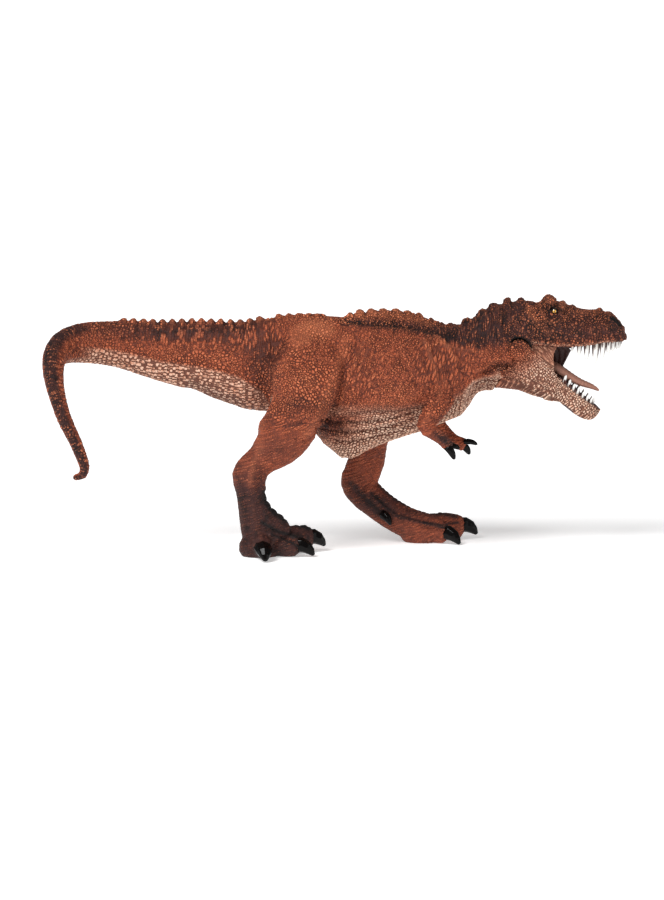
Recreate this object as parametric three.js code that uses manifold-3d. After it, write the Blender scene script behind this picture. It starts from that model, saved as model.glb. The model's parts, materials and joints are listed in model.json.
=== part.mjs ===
// Toy dinosaur figure: a striding two-legged meat eater in painted PVC, with a jaw that opens and shuts.
// Millimetres, +Z up, nose toward +X, soles on Z = 0. The animal's right side faces -Y.
import * as THREE from "three";
import { mergeVertices } from "three/addons/utils/BufferGeometryUtils.js";
import Module from "manifold-3d";

const wasm = await Module();
wasm.setup();

// Clearances and cutting allowances
const seatGap = 0.3;
const turningGap = 0.4;
const overrun = 3;
const mergeDistance = 0.0001;

// Trunk
const backHeight = 121;
const trunkLength = 97;
const trunkDepth = 75;
const trunkWidth = 50;
const tailSeam = -33;
const neckSeam = tailSeam + trunkLength;

// Tail
const tailRootDepth = 48;
const tailRootWidth = 38;
const tailRootDrop = 25.5;
const tailRootHeight = backHeight - tailRootDrop;
const tailReach = 112;
const tailSwing = 41;
const tailHang = 54;
const tailTipCap = 1.5;

// Neck and skull
const neckLength = 34;
const neckDepth = 47;
const neckWidth = 35;
const skullLength = 69;
const skullHeight = 23.2;
const skullWidth = 28.5;
const skullSeat = 18.2;
const skullBack = neckSeam + neckLength - skullSeat;
const snoutTip = skullBack + skullLength;
const lipDrop = 14.3;
const lipHeight = backHeight - lipDrop;
const lipWall = 1.4;
const snoutCap = 0.8;

// Lower jaw and its hinge
const hingeInset = 14.2;
const hingeX = skullBack + hingeInset;
const hingeUnderLip = 0.9;
const hingeHeight = lipHeight - hingeUnderLip;
const jawLength = 41.2;
const jawDrop = 36;
const jawWidth = 23.6;
const jawBossRadius = 5.3;
const jawBossWidth = 25.6;
const jawClosing = 32;
const chinCap = 0.6;
const throatAngle = 240;
const throatSweep = 210;
const uprightAngle = 90;
const lugSweepAngle = 200;
const heelMargin = 4;
const heelRadius = 16;
const heelWidth = 20;
const lugWidth = 14.2;
const lugRadius = 4.9;
const lugHeight = 14;
const pinRadius = 1.5;
const pinLength = 20.6;

// Legs and feet
const hipX = -12;
const hipPegDrop = 29;
const hipPegHeight = backHeight - hipPegDrop;
const legTopDrop = 15;
const legHeight = backHeight - legTopDrop;
const thighRadius = 19;
const thighWidth = 25;
const stanceInset = 2;
const stance = trunkWidth / 2 - stanceInset;
const rightLegTrail = 32;
const strideMargin = 51;
const leftLegStride = trunkLength - strideMargin;
const footLength = 28;
const footPadLength = 22;
const footPadWidth = 18;
const footPadHeight = 18;
const footPadSink = 4.5;
const toeSink = 0.3;
const thighCap = 6;
const toeRadius = 5.4;
const toeHeight = 6;
const clawLength = 9.2;
const clawRadius = 3.6;
const clawBury = 3.5;

// Arms and hands
const shoulderInset = 11;
const shoulderX = neckSeam - shoulderInset;
const shoulderDrop = 43;
const shoulderHeight = backHeight - shoulderDrop;
const shoulderSink = 6;
const shoulderSpread = trunkWidth / 2 - shoulderSink;
const armReach = 12;
const armSpread = 7;
const armDrop = 22.5;
const armRadius = 6.3;
const fingerClawRadius = 1.6;
const handCap = 1.6;

// Glued joints: keyed pegs in blind sockets
const bodyPegRadius = 9;
const bodyPegLength = 8;
const hipPegRadius = 6;
const hipPegLength = 7;
const armPegRadius = 2.4;
const armPegLength = 4;

// Teeth, tongue and eyes
const toothBandWidth = 1.1;
const toothBandHeight = 2.2;
const upperToothLength = 8.2;
const upperToothRadius = 1;
const lowerToothLength = 2.9;
const lowerToothRadius = 0.85;
const tongueWidth = 8.6;
const tongueThickness = 5.2;
const tongueCap = 1.2;
const eyeRadius = 1.8;

// Crest along the back
const crestScuteLength = 8;
const crestScuteWidth = 6;
const crestScuteHeight = 9;
const tailScutePitch = 5.1;
const tailScuteLength = 5.6;
const tailScuteWidth = 4.6;
const tailScuteHeight = 5;

const materials = {
  hide: { color: 0x9a4f31, roughness: 0.62, metalness: 0 },
  claw: { color: 0x14100f, roughness: 0.22, metalness: 0 },
  tooth: { color: 0xf1ece0, roughness: 0.35, metalness: 0 },
  tongue: { color: 0x8d5348, roughness: 0.4, metalness: 0 },
  eye: { color: 0xd8b512, roughness: 0.12, metalness: 0 },
  steel: { color: 0xb4b7ba, roughness: 0.35, metalness: 1 },
};

const figure = new THREE.Group();

// Adds a finished solid to the figure under its own name
function add(name, shape, finish) {
  const { numProp, vertProperties, triVerts } = largestBody(shape).getMesh();
  const geometry = new THREE.BufferGeometry();
  geometry.setAttribute("position", new THREE.BufferAttribute(vertProperties, numProp));
  geometry.setIndex(new THREE.BufferAttribute(triVerts, 1));
  geometry.computeVertexNormals();
  const mesh = new THREE.Mesh(geometry, new THREE.MeshStandardMaterial(materials[finish]));
  mesh.name = name;
  figure.add(mesh);
}

// Loose slivers that a cut leaves at a feather edge aren't part of the piece
function largestBody(shape) {
  const bodies = shape.decompose();
  return bodies.reduce((largest, body) => (body.volume() > largest.volume() ? body : largest));
}

function solid(geometry) {
  geometry.deleteAttribute("normal");
  geometry.deleteAttribute("uv");
  const merged = mergeVertices(geometry, mergeDistance);
  const vertProperties = Float32Array.from(merged.attributes.position.array);
  const triVerts = Uint32Array.from(merged.index.array);
  return new wasm.Manifold(new wasm.Mesh({ numProp: 3, vertProperties, triVerts }));
}

function joined(shapes) {
  return shapes.reduce((whole, shape) => whole.add(shape));
}

// A round bar between two points, which may taper
function rod(from, to, fromRadius, toRadius = fromRadius, sides = 16) {
  const along = to.clone().sub(from);
  const geometry = new THREE.CylinderGeometry(toRadius, fromRadius, along.length(), sides);
  const axis = new THREE.Vector3(0, 1, 0);
  const turn = new THREE.Quaternion().setFromUnitVectors(axis, along.clone().normalize());
  geometry.applyQuaternion(turn);
  geometry.translate(...from.clone().addScaledVector(along, 0.5).toArray());
  return solid(geometry);
}

// A ball squeezed to three full sizes
function ball(centre, length, width, height, sides = 12) {
  const geometry = new THREE.SphereGeometry(0.5, sides, sides / 2);
  geometry.rotateX(Math.PI / 2);
  geometry.scale(length, width, height);
  geometry.translate(...centre.toArray());
  return solid(geometry);
}

function block(low, high) {
  const size = high.clone().sub(low);
  const geometry = new THREE.BoxGeometry(...size.toArray());
  geometry.translate(...low.clone().addScaledVector(size, 0.5).toArray());
  return solid(geometry);
}

const fanSegments = 12;

// A slice of a disc about the jaw's hinge, seen from the side: angles run from +X toward +Z, in degrees
function hingeFan(radius, fromAngle, toAngle, width, shift = 0) {
  const outline = new THREE.Shape();
  outline.moveTo(0, 0);
  outline.absarc(0, 0, radius, THREE.MathUtils.degToRad(fromAngle), THREE.MathUtils.degToRad(toAngle));
  outline.lineTo(0, 0);
  const options = { depth: width, bevelEnabled: false, curveSegments: fanSegments };
  const geometry = new THREE.ExtrudeGeometry(outline, options);
  geometry.rotateX(Math.PI / 2);
  geometry.translate(hingeX + shift, width / 2, hingeHeight);
  return solid(geometry);
}

// A smooth value between rows: t runs from 0 at the first row to 1 at the last
function between(rows, t) {
  const last = rows.length - 1;
  const index = Math.min(Math.floor(t * last), last - 1);
  const f = t * last - index;
  const before = rows[Math.max(index - 1, 0)];
  const start = rows[index];
  const end = rows[index + 1];
  const after = rows[Math.min(index + 2, last)];
  return start.map((value, k) => {
    const slope = end[k] - before[k];
    const bend = 2 * before[k] - 5 * value + 4 * end[k] - after[k];
    const twist = 3 * value - before[k] - 3 * end[k] + after[k];
    return (2 * value + slope * f + bend * f ** 2 + twist * f ** 3) / 2;
  });
}

const halvings = 24;

// The row whose first column, which rises from row to row, has this value
function rowAt(rows, value) {
  let low = 0;
  let high = 1;
  for (let step = 0; step < halvings; step++) {
    const middle = (low + high) / 2;
    if (between(rows, middle)[0] < value) {
      low = middle;
    } else {
      high = middle;
    }
  }
  return between(rows, low);
}

const capSteps = 3;

// A closed skin of rings through rows of x, y, z, half width, reach above and reach below.
// Upright rings stand square to X. Others stand square to the path and carry their top along from facing.
// full and keel are the corner fullness of a ring's upper and lower half: 2 is an ellipse, more is boxier.
function skin(rows, options = {}) {
  const { sides = 18, steps = 2, upright = false, facing = new THREE.Vector3(0, 0, 1) } = options;
  const { full = 2, keel = 2, startCap = 0, endCap = 0, grow = 0 } = options;
  const count = (rows.length - 1) * steps;
  const rings = [];
  let top = facing.clone();
  for (let i = 0; i <= count; i++) {
    const t = i / count;
    const [x, y, z, wide, above, below] = between(rows, t);
    const nudge = 0.5 / count;
    const behind = new THREE.Vector3(...between(rows, Math.max(t - nudge, 0)));
    const ahead = new THREE.Vector3(...between(rows, Math.min(t + nudge, 1))).sub(behind).normalize();
    if (upright) {
      ahead.set(1, 0, 0);
    }
    top = top.clone().addScaledVector(ahead, -top.dot(ahead)).normalize();
    const across = new THREE.Vector3().crossVectors(ahead, top);
    const reaches = [wide + grow, above + grow, below + grow];
    rings.push({ centre: new THREE.Vector3(x, y, z), ahead, top, across, reaches, scale: 1 });
  }
  const capped = [
    ...capRings(rings[0], startCap, -1, grow).reverse(),
    ...rings,
    ...capRings(rings[count], endCap, 1, grow),
  ];
  return solid(ringSkin(capped, sides, full, keel));
}

// Shrinking rings that round off one end of a skin
function capRings(ring, length, side, grow) {
  const rings = [];
  for (let step = 1; length > 0 && step < capSteps; step++) {
    const angle = (step / capSteps) * (Math.PI / 2);
    const centre = ring.centre.clone().addScaledVector(ring.ahead, side * (length + grow) * Math.sin(angle));
    rings.push({ ...ring, centre, scale: Math.cos(angle) });
  }
  return rings;
}

function ringSkin(rings, sides, full, keel) {
  const points = [];
  for (const { centre, top, across, reaches, scale } of rings) {
    const [wide, above, below] = reaches;
    for (let k = 0; k < sides; k++) {
      const angle = (k / sides) * 2 * Math.PI;
      const power = 2 / (Math.sin(angle) >= 0 ? full : keel);
      const sideways = Math.sign(Math.cos(angle)) * Math.abs(Math.cos(angle)) ** power;
      const upward = Math.sign(Math.sin(angle)) * Math.abs(Math.sin(angle)) ** power;
      const reach = upward >= 0 ? above : below;
      const point = centre.clone().addScaledVector(across, sideways * wide * scale);
      points.push(point.addScaledVector(top, upward * reach * scale));
    }
  }
  const first = points.length;
  points.push(rings[0].centre, rings[rings.length - 1].centre);
  const faces = [];
  for (let k = 0; k < sides; k++) {
    const next = (k + 1) % sides;
    const end = (rings.length - 1) * sides;
    faces.push(first, k, next, first + 1, end + next, end + k);
    for (let ring = 0; ring < rings.length - 1; ring++) {
      const here = ring * sides;
      const there = here + sides;
      faces.push(here + k, there + k, here + next, here + next, there + k, there + next);
    }
  }
  const geometry = new THREE.BufferGeometry().setFromPoints(points);
  geometry.setIndex(faces);
  return geometry;
}

// Trunk: distance from the tail seam, height lost from the back, depth of the belly, half width
const trunkShares = [
  [0, 0.015, 0.66, 0.76],
  [0.13, 0, 0.74, 0.86],
  [0.24, 0, 0.83, 0.9],
  [0.34, 0.004, 0.92, 0.9],
  [0.42, 0.006, 0.99, 0.9],
  [0.505, 0, 0.93, 0.96],
  [0.61, 0, 0.875, 1],
  [0.71, 0.01, 0.83, 1],
  [0.81, 0.03, 0.79, 0.94],
  [0.92, 0.06, 0.73, 0.82],
  [1, 0.06, 0.69, 0.7],
];
const trunkMiddleShare = 0.4;

function trunkRows() {
  return trunkShares.map(([along, top, bottom, wide]) => {
    const middle = backHeight - trunkMiddleShare * trunkDepth;
    const above = backHeight - top * trunkDepth - middle;
    const below = middle - backHeight + bottom * trunkDepth;
    return [tailSeam + along * trunkLength, 0, middle, (wide * trunkWidth) / 2, above, below];
  });
}

function trunkSkin(grow = 0) {
  return skin(trunkRows(), { sides: 24, upright: true, full: 2.1, keel: 1.75, grow });
}

// Crest scutes of the trunk: distance along the trunk, and size
const crestShares = [
  [0.43, 0.62],
  [0.475, 0.74],
  [0.52, 0.86],
  [0.575, 1],
  [0.64, 1.06],
  [0.7, 1],
  [0.765, 0.94],
  [0.83, 0.78],
  [0.89, 0.66],
  [0.945, 0.55],
];
const crestSinkShare = 0.12;

function crest() {
  return crestShares.map(([along, size]) => {
    const [x, , middle, , above] = rowAt(trunkRows(), tailSeam + along * trunkLength);
    const centre = new THREE.Vector3(x, 0, middle + above - crestSinkShare * size * crestScuteHeight);
    return ball(centre, crestScuteLength * size, crestScuteWidth * size, crestScuteHeight * size, 10);
  });
}

// Tail: reach back, swing to the right, rise, half depth and half width
const tailShares = [
  [0, 0, 0, 1, 1],
  [0.14, 0, -0.005, 0.92, 0.87],
  [0.32, 0, 0.075, 0.76, 0.71],
  [0.51, 0, 0.13, 0.62, 0.6],
  [0.69, 0, 0.2, 0.5, 0.5],
  [0.83, 0.05, 0.225, 0.45, 0.44],
  [0.93, 0.22, 0.215, 0.39, 0.38],
  [0.978, 0.46, 0.17, 0.32, 0.33],
  [0.992, 0.68, 0.075, 0.28, 0.3],
  [0.985, 0.83, -0.08, 0.24, 0.26],
  [0.965, 0.93, -0.24, 0.21, 0.22],
  [0.935, 0.98, -0.42, 0.18, 0.2],
  [0.893, 1, -0.6, 0.16, 0.175],
  [0.862, 1, -0.76, 0.14, 0.16],
  [0.848, 0.98, -0.86, 0.12, 0.14],
  [0.857, 0.95, -0.94, 0.1, 0.12],
  [0.89, 0.93, -0.965, 0.07, 0.08],
];

function tailRows() {
  const seam = tailSeam - seatGap;
  return tailShares.map(([back, swing, rise, deep, wide]) => {
    const depth = (deep * tailRootDepth) / 2;
    const height = tailRootHeight + rise * tailHang;
    return [seam - back * tailReach, -swing * tailSwing, height, (wide * tailRootWidth) / 2, depth, depth];
  });
}

// Small scutes along the top of the tail at an even pitch, and on over the rump
const tailScuteSinkShare = 0.2;
const straightTailShare = 0.72;
const rumpScuteCount = 5;

function tailScute(x, topHeight) {
  const centre = new THREE.Vector3(x, 0, topHeight - tailScuteSinkShare * tailScuteHeight);
  return ball(centre, tailScuteLength, tailScuteWidth, tailScuteHeight, 8);
}

function tailScutes() {
  const fromSeam = tailRows().map(([x, ...rest]) => [-x, ...rest]);
  const scutes = [];
  for (let back = tailScutePitch; back < straightTailShare * tailReach; back += tailScutePitch) {
    const [, , height, , above] = rowAt(fromSeam, back - tailSeam);
    scutes.push(tailScute(tailSeam - back, height + above));
  }
  return scutes;
}

function rumpScutes() {
  const scutes = [];
  for (let count = 1; count <= rumpScuteCount; count++) {
    const [x, , middle, , above] = rowAt(trunkRows(), tailSeam + count * tailScutePitch);
    scutes.push(tailScute(x, middle + above));
  }
  return scutes;
}

// Keyed pegs: the tail's and head's plug into the trunk's two ends, a leg's and an arm's into its flank
const neckPegHeight = backHeight - trunkMiddleShare * trunkDepth;

function tailPeg(grow = 0) {
  const from = new THREE.Vector3(tailSeam - overrun, 0, tailRootHeight);
  const to = new THREE.Vector3(tailSeam + bodyPegLength + grow, 0, tailRootHeight);
  return rod(from, to, bodyPegRadius + grow);
}

function neckPeg(grow = 0) {
  const from = new THREE.Vector3(neckSeam + overrun, 0, neckPegHeight);
  const to = new THREE.Vector3(neckSeam - bodyPegLength - grow, 0, neckPegHeight);
  return rod(from, to, bodyPegRadius + grow);
}

function flankPeg(x, y, z, side, radius, length, grow = 0) {
  const from = new THREE.Vector3(x, side * (y + overrun), z);
  const to = new THREE.Vector3(x, side * (y - length - grow), z);
  return rod(from, to, radius + grow);
}

const hipFlankShare = 0.86;
const armFlankShare = 0.74;

function hipPeg(side, grow = 0) {
  const flank = (hipFlankShare * trunkWidth) / 2;
  return flankPeg(hipX, flank, hipPegHeight, side, hipPegRadius, hipPegLength, grow);
}

function armPeg(side, grow = 0) {
  const flank = (armFlankShare * trunkWidth) / 2;
  return flankPeg(shoulderX, flank, shoulderHeight, side, armPegRadius, armPegLength, grow);
}

function buildTrunk() {
  const sockets = [tailPeg(seatGap), neckPeg(seatGap)];
  for (const side of [-1, 1]) {
    sockets.push(hipPeg(side, seatGap), armPeg(side, seatGap));
  }
  const whole = joined([trunkSkin(), ...crest(), ...rumpScutes()]);
  const tailSide = block(
    new THREE.Vector3(tailSeam - trunkLength, -trunkWidth, 0),
    new THREE.Vector3(tailSeam, trunkWidth, 2 * backHeight),
  );
  add("torso", whole.subtract(tailSide).subtract(joined(sockets)), "hide");
}

function tailSkin(grow = 0) {
  return skin(tailRows(), { endCap: tailTipCap, grow });
}

function buildTail() {
  const whole = joined([tailSkin(), ...tailScutes()]);
  const trunkSide = block(
    new THREE.Vector3(tailSeam - seatGap, -trunkWidth, 0),
    new THREE.Vector3(neckSeam, trunkWidth, 2 * backHeight),
  );
  add("tail", whole.subtract(trunkSide).add(tailPeg()), "hide");
}

// Neck: distance from the neck seam, height gained over the back, depth below the back, half width
const neckShares = [
  [0, -0.094, 1.1, 1],
  [0.13, -0.05, 0.98, 0.93],
  [0.26, 0.01, 0.838, 0.86],
  [0.47, 0.105, 0.822, 0.8],
  [0.71, 0.152, 0.81, 0.76],
  [1, 0.162, 0.79, 0.74],
];
const neckMiddleShare = 0.54;

function neckRows() {
  return neckShares.map(([along, gain, drop, wide]) => {
    const top = backHeight + gain * neckDepth;
    const bottom = backHeight - drop * neckDepth;
    const middle = top - neckMiddleShare * (top - bottom);
    const x = neckSeam + seatGap + along * neckLength;
    return [x, 0, middle, (wide * neckWidth) / 2, top - middle, middle - bottom];
  });
}

// Skull: distance back from the snout tip, top, lip and half width
const skullShares = [
  [1, 0.82, 0, 0.84],
  [0.9, 0.92, 0, 0.93],
  [0.81, 0.96, 0.01, 1],
  [0.72, 0.95, 0.03, 1],
  [0.61, 0.96, 0.02, 0.97],
  [0.53, 0.95, 0, 0.93],
  [0.45, 0.89, -0.01, 0.88],
  [0.37, 0.8, -0.01, 0.84],
  [0.285, 0.74, 0.01, 0.81],
  [0.2, 0.745, 0.05, 0.78],
  [0.13, 0.69, 0.09, 0.73],
  [0.075, 0.57, 0.12, 0.64],
  [0.03, 0.41, 0.145, 0.5],
  [0, 0.27, 0.17, 0.28],
];
const lipRoundShare = 0.075;
const skullFull = 2.5;

function skullRows() {
  return skullShares.map(([back, top, lip, wide]) => {
    const middle = lipHeight + (lip + lipRoundShare) * skullHeight;
    const above = lipHeight + top * skullHeight - middle;
    const below = lipRoundShare * skullHeight;
    return [snoutTip - back * skullLength, 0, middle, (wide * skullWidth) / 2, above, below];
  });
}

// How far the skull's side lies from the middle at one place
function skullSide(x, z) {
  const [, , middle, wide, above] = rowAt(skullRows(), x);
  return wide * (1 - ((z - middle) / above) ** skullFull) ** (1 / skullFull);
}

// Mouth roof inside the skull: distance back from the snout tip, and height over the lip
const mouthRoofShares = [
  [0.833, 0.22],
  [0.775, 0.28],
  [0.7, 0.42],
  [0.615, 0.6],
  [0.545, 0.62],
  [0.455, 0.52],
  [0.34, 0.37],
  [0.195, 0.33],
  [0.08, 0.33],
  [0.025, 0.33],
];
const mouthOpenShare = 0.4;

function mouthRoof() {
  const rows = mouthRoofShares.map(([back, roof]) => {
    const [x, , , wide] = rowAt(skullRows(), snoutTip - back * skullLength);
    return [x, 0, lipHeight, wide - lipWall, roof * skullHeight, mouthOpenShare * skullHeight];
  });
  return skin(rows, { steps: 1, upright: true, full: 6, keel: 8 });
}

// Knobs on the neck and skull, each a pair or one on the middle line: place, spread and size
const headKnobShares = [
  [1.18, 0, 0.95],
  [1.07, 0, 1.05],
  [0.99, 0, 1.05],
  [0.885, 0.22, 0.95],
  [0.775, 0.3, 0.9],
  [0.575, 0.36, 1.5],
  [0.475, 0.5, 0.75],
  [0.395, 0.3, 0.6],
  [0.19, 0.25, 0.6],
];
const knobLength = 6;
const knobWidth = 5;
const knobHeight = 5.6;
const knobSinkShare = 0.12;

function headTop(x, y) {
  const onNeck = x < snoutTip - skullLength;
  const [, , middle, wide, above] = rowAt(onNeck ? neckRows() : skullRows(), x);
  return middle + above * (1 - (y / wide) ** skullFull) ** (1 / skullFull);
}

function headKnobs() {
  const knobs = [];
  for (const [back, spread, size] of headKnobShares) {
    const x = snoutTip - back * skullLength;
    const y = (spread * skullWidth) / 2;
    const z = headTop(x, y) - knobSinkShare * knobHeight * size;
    for (const side of spread > 0 ? [-1, 1] : [1]) {
      const centre = new THREE.Vector3(x, side * y, z);
      knobs.push(ball(centre, knobLength * size, knobWidth * size, knobHeight * size, 8));
    }
  }
  return knobs;
}

// Hinge: a lug under the skull stands between the two sides of the jaw, and a pin runs through all three
function hingeRod(radius, fromY, toY, sides) {
  const from = new THREE.Vector3(hingeX, fromY, hingeHeight);
  const to = new THREE.Vector3(hingeX, toY, hingeHeight);
  return rod(from, to, radius, radius, sides);
}

function hingeLug() {
  const low = new THREE.Vector3(hingeX - lugRadius, -lugWidth / 2, hingeHeight);
  const high = new THREE.Vector3(hingeX + lugRadius / 2, lugWidth / 2, hingeHeight + lugHeight);
  return hingeRod(lugRadius, -lugWidth / 2, lugWidth / 2, 24).add(block(low, high));
}

function pinBore() {
  const reach = pinLength / 2 + seatGap;
  return hingeRod(pinRadius + seatGap, -reach, reach, 16);
}

const eyeBackShare = 0.532;
const eyeHeightShare = 0.79;
const eyeSinkShare = 0.35;

function eyeCentre(side) {
  const x = snoutTip - eyeBackShare * skullLength;
  const z = lipHeight + eyeHeightShare * skullHeight;
  return new THREE.Vector3(x, side * (skullSide(x, z) - eyeSinkShare * eyeRadius), z);
}

function eye(side, grow = 0) {
  const size = 2 * (eyeRadius + grow);
  return ball(eyeCentre(side), size, size, size);
}

function buildHead() {
  const throatEnd = throatAngle + throatSweep;
  const throatCut = hingeFan(2 * neckDepth, throatAngle, throatEnd, 2 * neckWidth, -turningGap);
  const neck = skin(neckRows(), { sides: 20, upright: true, full: 2.1, keel: 1.9 }).subtract(throatCut);
  const skull = skin(skullRows(), { sides: 20, upright: true, full: skullFull, keel: 5, endCap: snoutCap });
  let head = joined([neck, skull, ...headKnobs()]).subtract(mouthRoof());
  const bossRadius = jawBossRadius + turningGap;
  for (const side of [-1, 1]) {
    head = head.subtract(hingeRod(bossRadius, (side * lugWidth) / 2, side * skullWidth, 24));
    head = head.subtract(eye(side, seatGap));
  }
  const heelPocket = hingeFan(
    heelRadius + turningGap,
    throatAngle - jawClosing - 2 * heelMargin,
    throatAngle + heelMargin,
    heelWidth + 2 * turningGap,
  );
  head = head.subtract(heelPocket).add(hingeLug()).subtract(pinBore());
  add("head", head.add(neckPeg()), "hide");
  add("right_eye", eye(-1), "eye");
  add("left_eye", eye(1), "eye");
  add("jaw_hinge_pin", hingeRod(pinRadius, -pinLength / 2, pinLength / 2, 16), "steel");
}

// Lower jaw: distance from the hinge, top line and bottom line below the hinge, half width
const jawShares = [
  [-0.36, 0.12, 0.6, 0.98],
  [-0.12, 0.12, 0.63, 1],
  [0, 0.12, 0.65, 1],
  [0.15, 0.03, 0.715, 1],
  [0.34, -0.18, 0.79, 0.95],
  [0.44, -0.33, 0.815, 0.865],
  [0.55, -0.48, 0.86, 0.69],
  [0.68, -0.625, 0.98, 0.61],
  [0.81, -0.745, 1.06, 0.55],
  [0.9, -0.81, 1.07, 0.49],
  [0.965, -0.86, 1.02, 0.37],
  [1, -0.9, 0.96, 0.2],
];
const jawEdgeShare = 0.05;

function jawRows() {
  return jawShares.map(([along, top, drop, wide]) => {
    const above = jawEdgeShare * jawDrop;
    const middle = hingeHeight + top * jawDrop - above;
    const below = middle - hingeHeight + drop * jawDrop;
    return [hingeX + along * jawLength, 0, middle, (wide * jawWidth) / 2, above, below];
  });
}

// Mouth floor hollowed into the jaw: distance from the hinge, floor below the hinge, half width
const mouthFloorShares = [
  [0.02, 0.22, 0.7],
  [0.15, 0.34, 0.74],
  [0.33, 0.46, 0.78],
  [0.43, 0.53, 0.71],
  [0.54, 0.61, 0.6],
  [0.67, 0.74, 0.51],
  [0.8, 0.85, 0.46],
  [0.89, 0.905, 0.4],
  [0.945, 0.935, 0.3],
];
const mouthTopShare = 0.3;

function mouthFloorRows() {
  return mouthFloorShares.map(([along, drop, wide]) => {
    const floor = hingeHeight - drop * jawDrop;
    const top = hingeHeight + mouthTopShare * jawDrop;
    const middle = (floor + top) / 2;
    return [hingeX + along * jawLength, 0, middle, (wide * jawWidth) / 2, top - middle, middle - floor];
  });
}

function mouthFloor() {
  return skin(mouthFloorRows(), { steps: 1, upright: true, full: 8, keel: 5 });
}

// Cheek skin that spans the corner of the open mouth, inside the lip: distance from the hinge, top and bottom
const cheekShares = [
  [0.06, 0.07, 0.3],
  [0.2, 0.085, 0.35],
  [0.33, 0.08, 0.4],
  [0.435, 0.07, 0.46],
];
const cheekWidthShare = 0.93;

function cheeks() {
  const rows = cheekShares.map(([along, top, drop]) => {
    const [x, , , wide] = rowAt(jawRows(), hingeX + along * jawLength);
    const half = ((top + drop) * jawDrop) / 2;
    return [x, 0, hingeHeight + top * jawDrop - half, wide * cheekWidthShare, half, half];
  });
  return skin(rows, { upright: true, full: 8, keel: 8 });
}

function buildJaw() {
  const behindThroat = hingeFan(2 * neckDepth, uprightAngle, throatAngle, 2 * neckWidth);
  let jaw = skin(jawRows(), { sides: 20, upright: true, full: 3.5, keel: 2.2, endCap: chinCap });
  jaw = jaw.add(cheeks()).subtract(behindThroat);
  jaw = jaw.add(hingeRod(jawBossRadius, -jawBossWidth / 2, jawBossWidth / 2, 24));
  const heelAngle = throatAngle - jawClosing - heelMargin;
  jaw = jaw.add(hingeFan(heelRadius, heelAngle, throatAngle + heelMargin, heelWidth));
  const lugRoom = lugWidth + 2 * turningGap;
  const lugSweepStart = uprightAngle - jawClosing - heelMargin;
  const lugSweep = hingeFan(lugHeight + jawBossRadius, lugSweepStart, lugSweepAngle, lugRoom);
  const lugClear = hingeRod(lugRadius + turningGap, -lugRoom / 2, lugRoom / 2, 24);
  jaw = jaw.subtract(mouthFloor()).subtract(lugSweep).subtract(lugClear).subtract(pinBore());
  jaw = jaw.subtract(toothBand(lowerToothPlaces(), seatGap));
  add("lower_jaw", jaw, "hide");
}

// Teeth stand on a band that follows the inside of the lip round the front of the mouth
function toothBand(places, grow = 0) {
  const rightRoots = places.map((place) => place.root);
  const roots = [...rightRoots, ...rightRoots.map(mirrored).reverse()];
  const width = toothBandWidth / 2;
  const height = toothBandHeight / 2;
  const rows = roots.map((root) => [root.x, root.y, root.z, width, height, height]);
  return skin(rows, { sides: 6, steps: 1, full: 5, keel: 5, grow });
}

function toothStrip(places, toothRadius, lean, side) {
  const shapes = [toothBand(places)];
  for (const place of places.filter((entry) => entry.length > 0)) {
    for (const root of [place.root, mirrored(place.root)]) {
      const tip = root.clone().add(new THREE.Vector3(lean * place.length, 0, side * place.length));
      const size = toothRadius * place.size;
      shapes.push(rod(root, tip, size, 0, 5));
    }
  }
  return joined(shapes);
}

function mirrored(point) {
  return new THREE.Vector3(point.x, -point.y, point.z);
}

// Upper teeth: distance back from the snout tip, length and thickness
const upperToothShares = [
  [0.43, 0, 0],
  [0.395, 0.34, 0.6],
  [0.343, 0.6, 0.85],
  [0.284, 0.93, 1],
  [0.218, 1.26, 1.1],
  [0.166, 1.05, 1],
  [0.123, 0.85, 0.9],
  [0.09, 0.72, 0.85],
  [0.062, 0.62, 0.8],
];
const thickestToothShare = 1.1;
const upperFrontToothShares = [
  { back: 0.045, spread: 0.55, length: 0.6, size: 0.75 },
  { back: 0.039, spread: 0.18, length: 0.6, size: 0.75 },
];

function upperToothPlaces() {
  const inset = lipWall + seatGap + thickestToothShare * upperToothRadius;
  const places = upperToothShares.map(([back, length, size]) => {
    const [x, , middle, wide] = rowAt(skullRows(), snoutTip - back * skullLength);
    return { root: new THREE.Vector3(x, -(wide - inset), middle), length: upperToothReach(length), size };
  });
  const corner = places[places.length - 1].root;
  for (const { back, spread, length, size } of upperFrontToothShares) {
    const root = new THREE.Vector3(snoutTip - back * skullLength, corner.y * spread, corner.z);
    places.push({ root, length: upperToothReach(length), size });
  }
  return places;
}

function upperToothReach(share) {
  return share > 0 ? share * upperToothLength + lipRoundShare * skullHeight : 0;
}

// Lower teeth: distance from the hinge, length and thickness
const lowerToothShares = [
  [0.5, 0, 0],
  [0.555, 1, 1],
  [0.61, 1, 1],
  [0.665, 0.95, 1],
  [0.72, 1.05, 1],
  [0.78, 0.9, 0.9],
  [0.835, 0.85, 0.9],
  [0.885, 0.75, 0.8],
];
const lowerFrontToothShares = [{ along: 0.915, spread: 0.4, drop: 0.015, length: 0.75, size: 0.8 }];
const lowerToothLean = 0.4;
const upperToothLean = -0.08;

function lowerToothPlaces() {
  const sink = toothBandHeight / 2;
  const places = lowerToothShares.map(([along, length, size]) => {
    const x = hingeX + along * jawLength;
    const [, , middle, , above] = rowAt(jawRows(), x);
    const [, , , inner] = rowAt(mouthFloorRows(), x);
    const root = new THREE.Vector3(x, -(inner - seatGap - lowerToothRadius), middle + above - sink);
    return { root, length: length * lowerToothLength + (length > 0 ? sink : 0), size };
  });
  const corner = places[places.length - 1].root;
  for (const { along, spread, drop, length, size } of lowerFrontToothShares) {
    const root = new THREE.Vector3(hingeX + along * jawLength, corner.y * spread, corner.z - drop * jawDrop);
    places.push({ root, length: length * lowerToothLength + sink, size });
  }
  return places;
}

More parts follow.
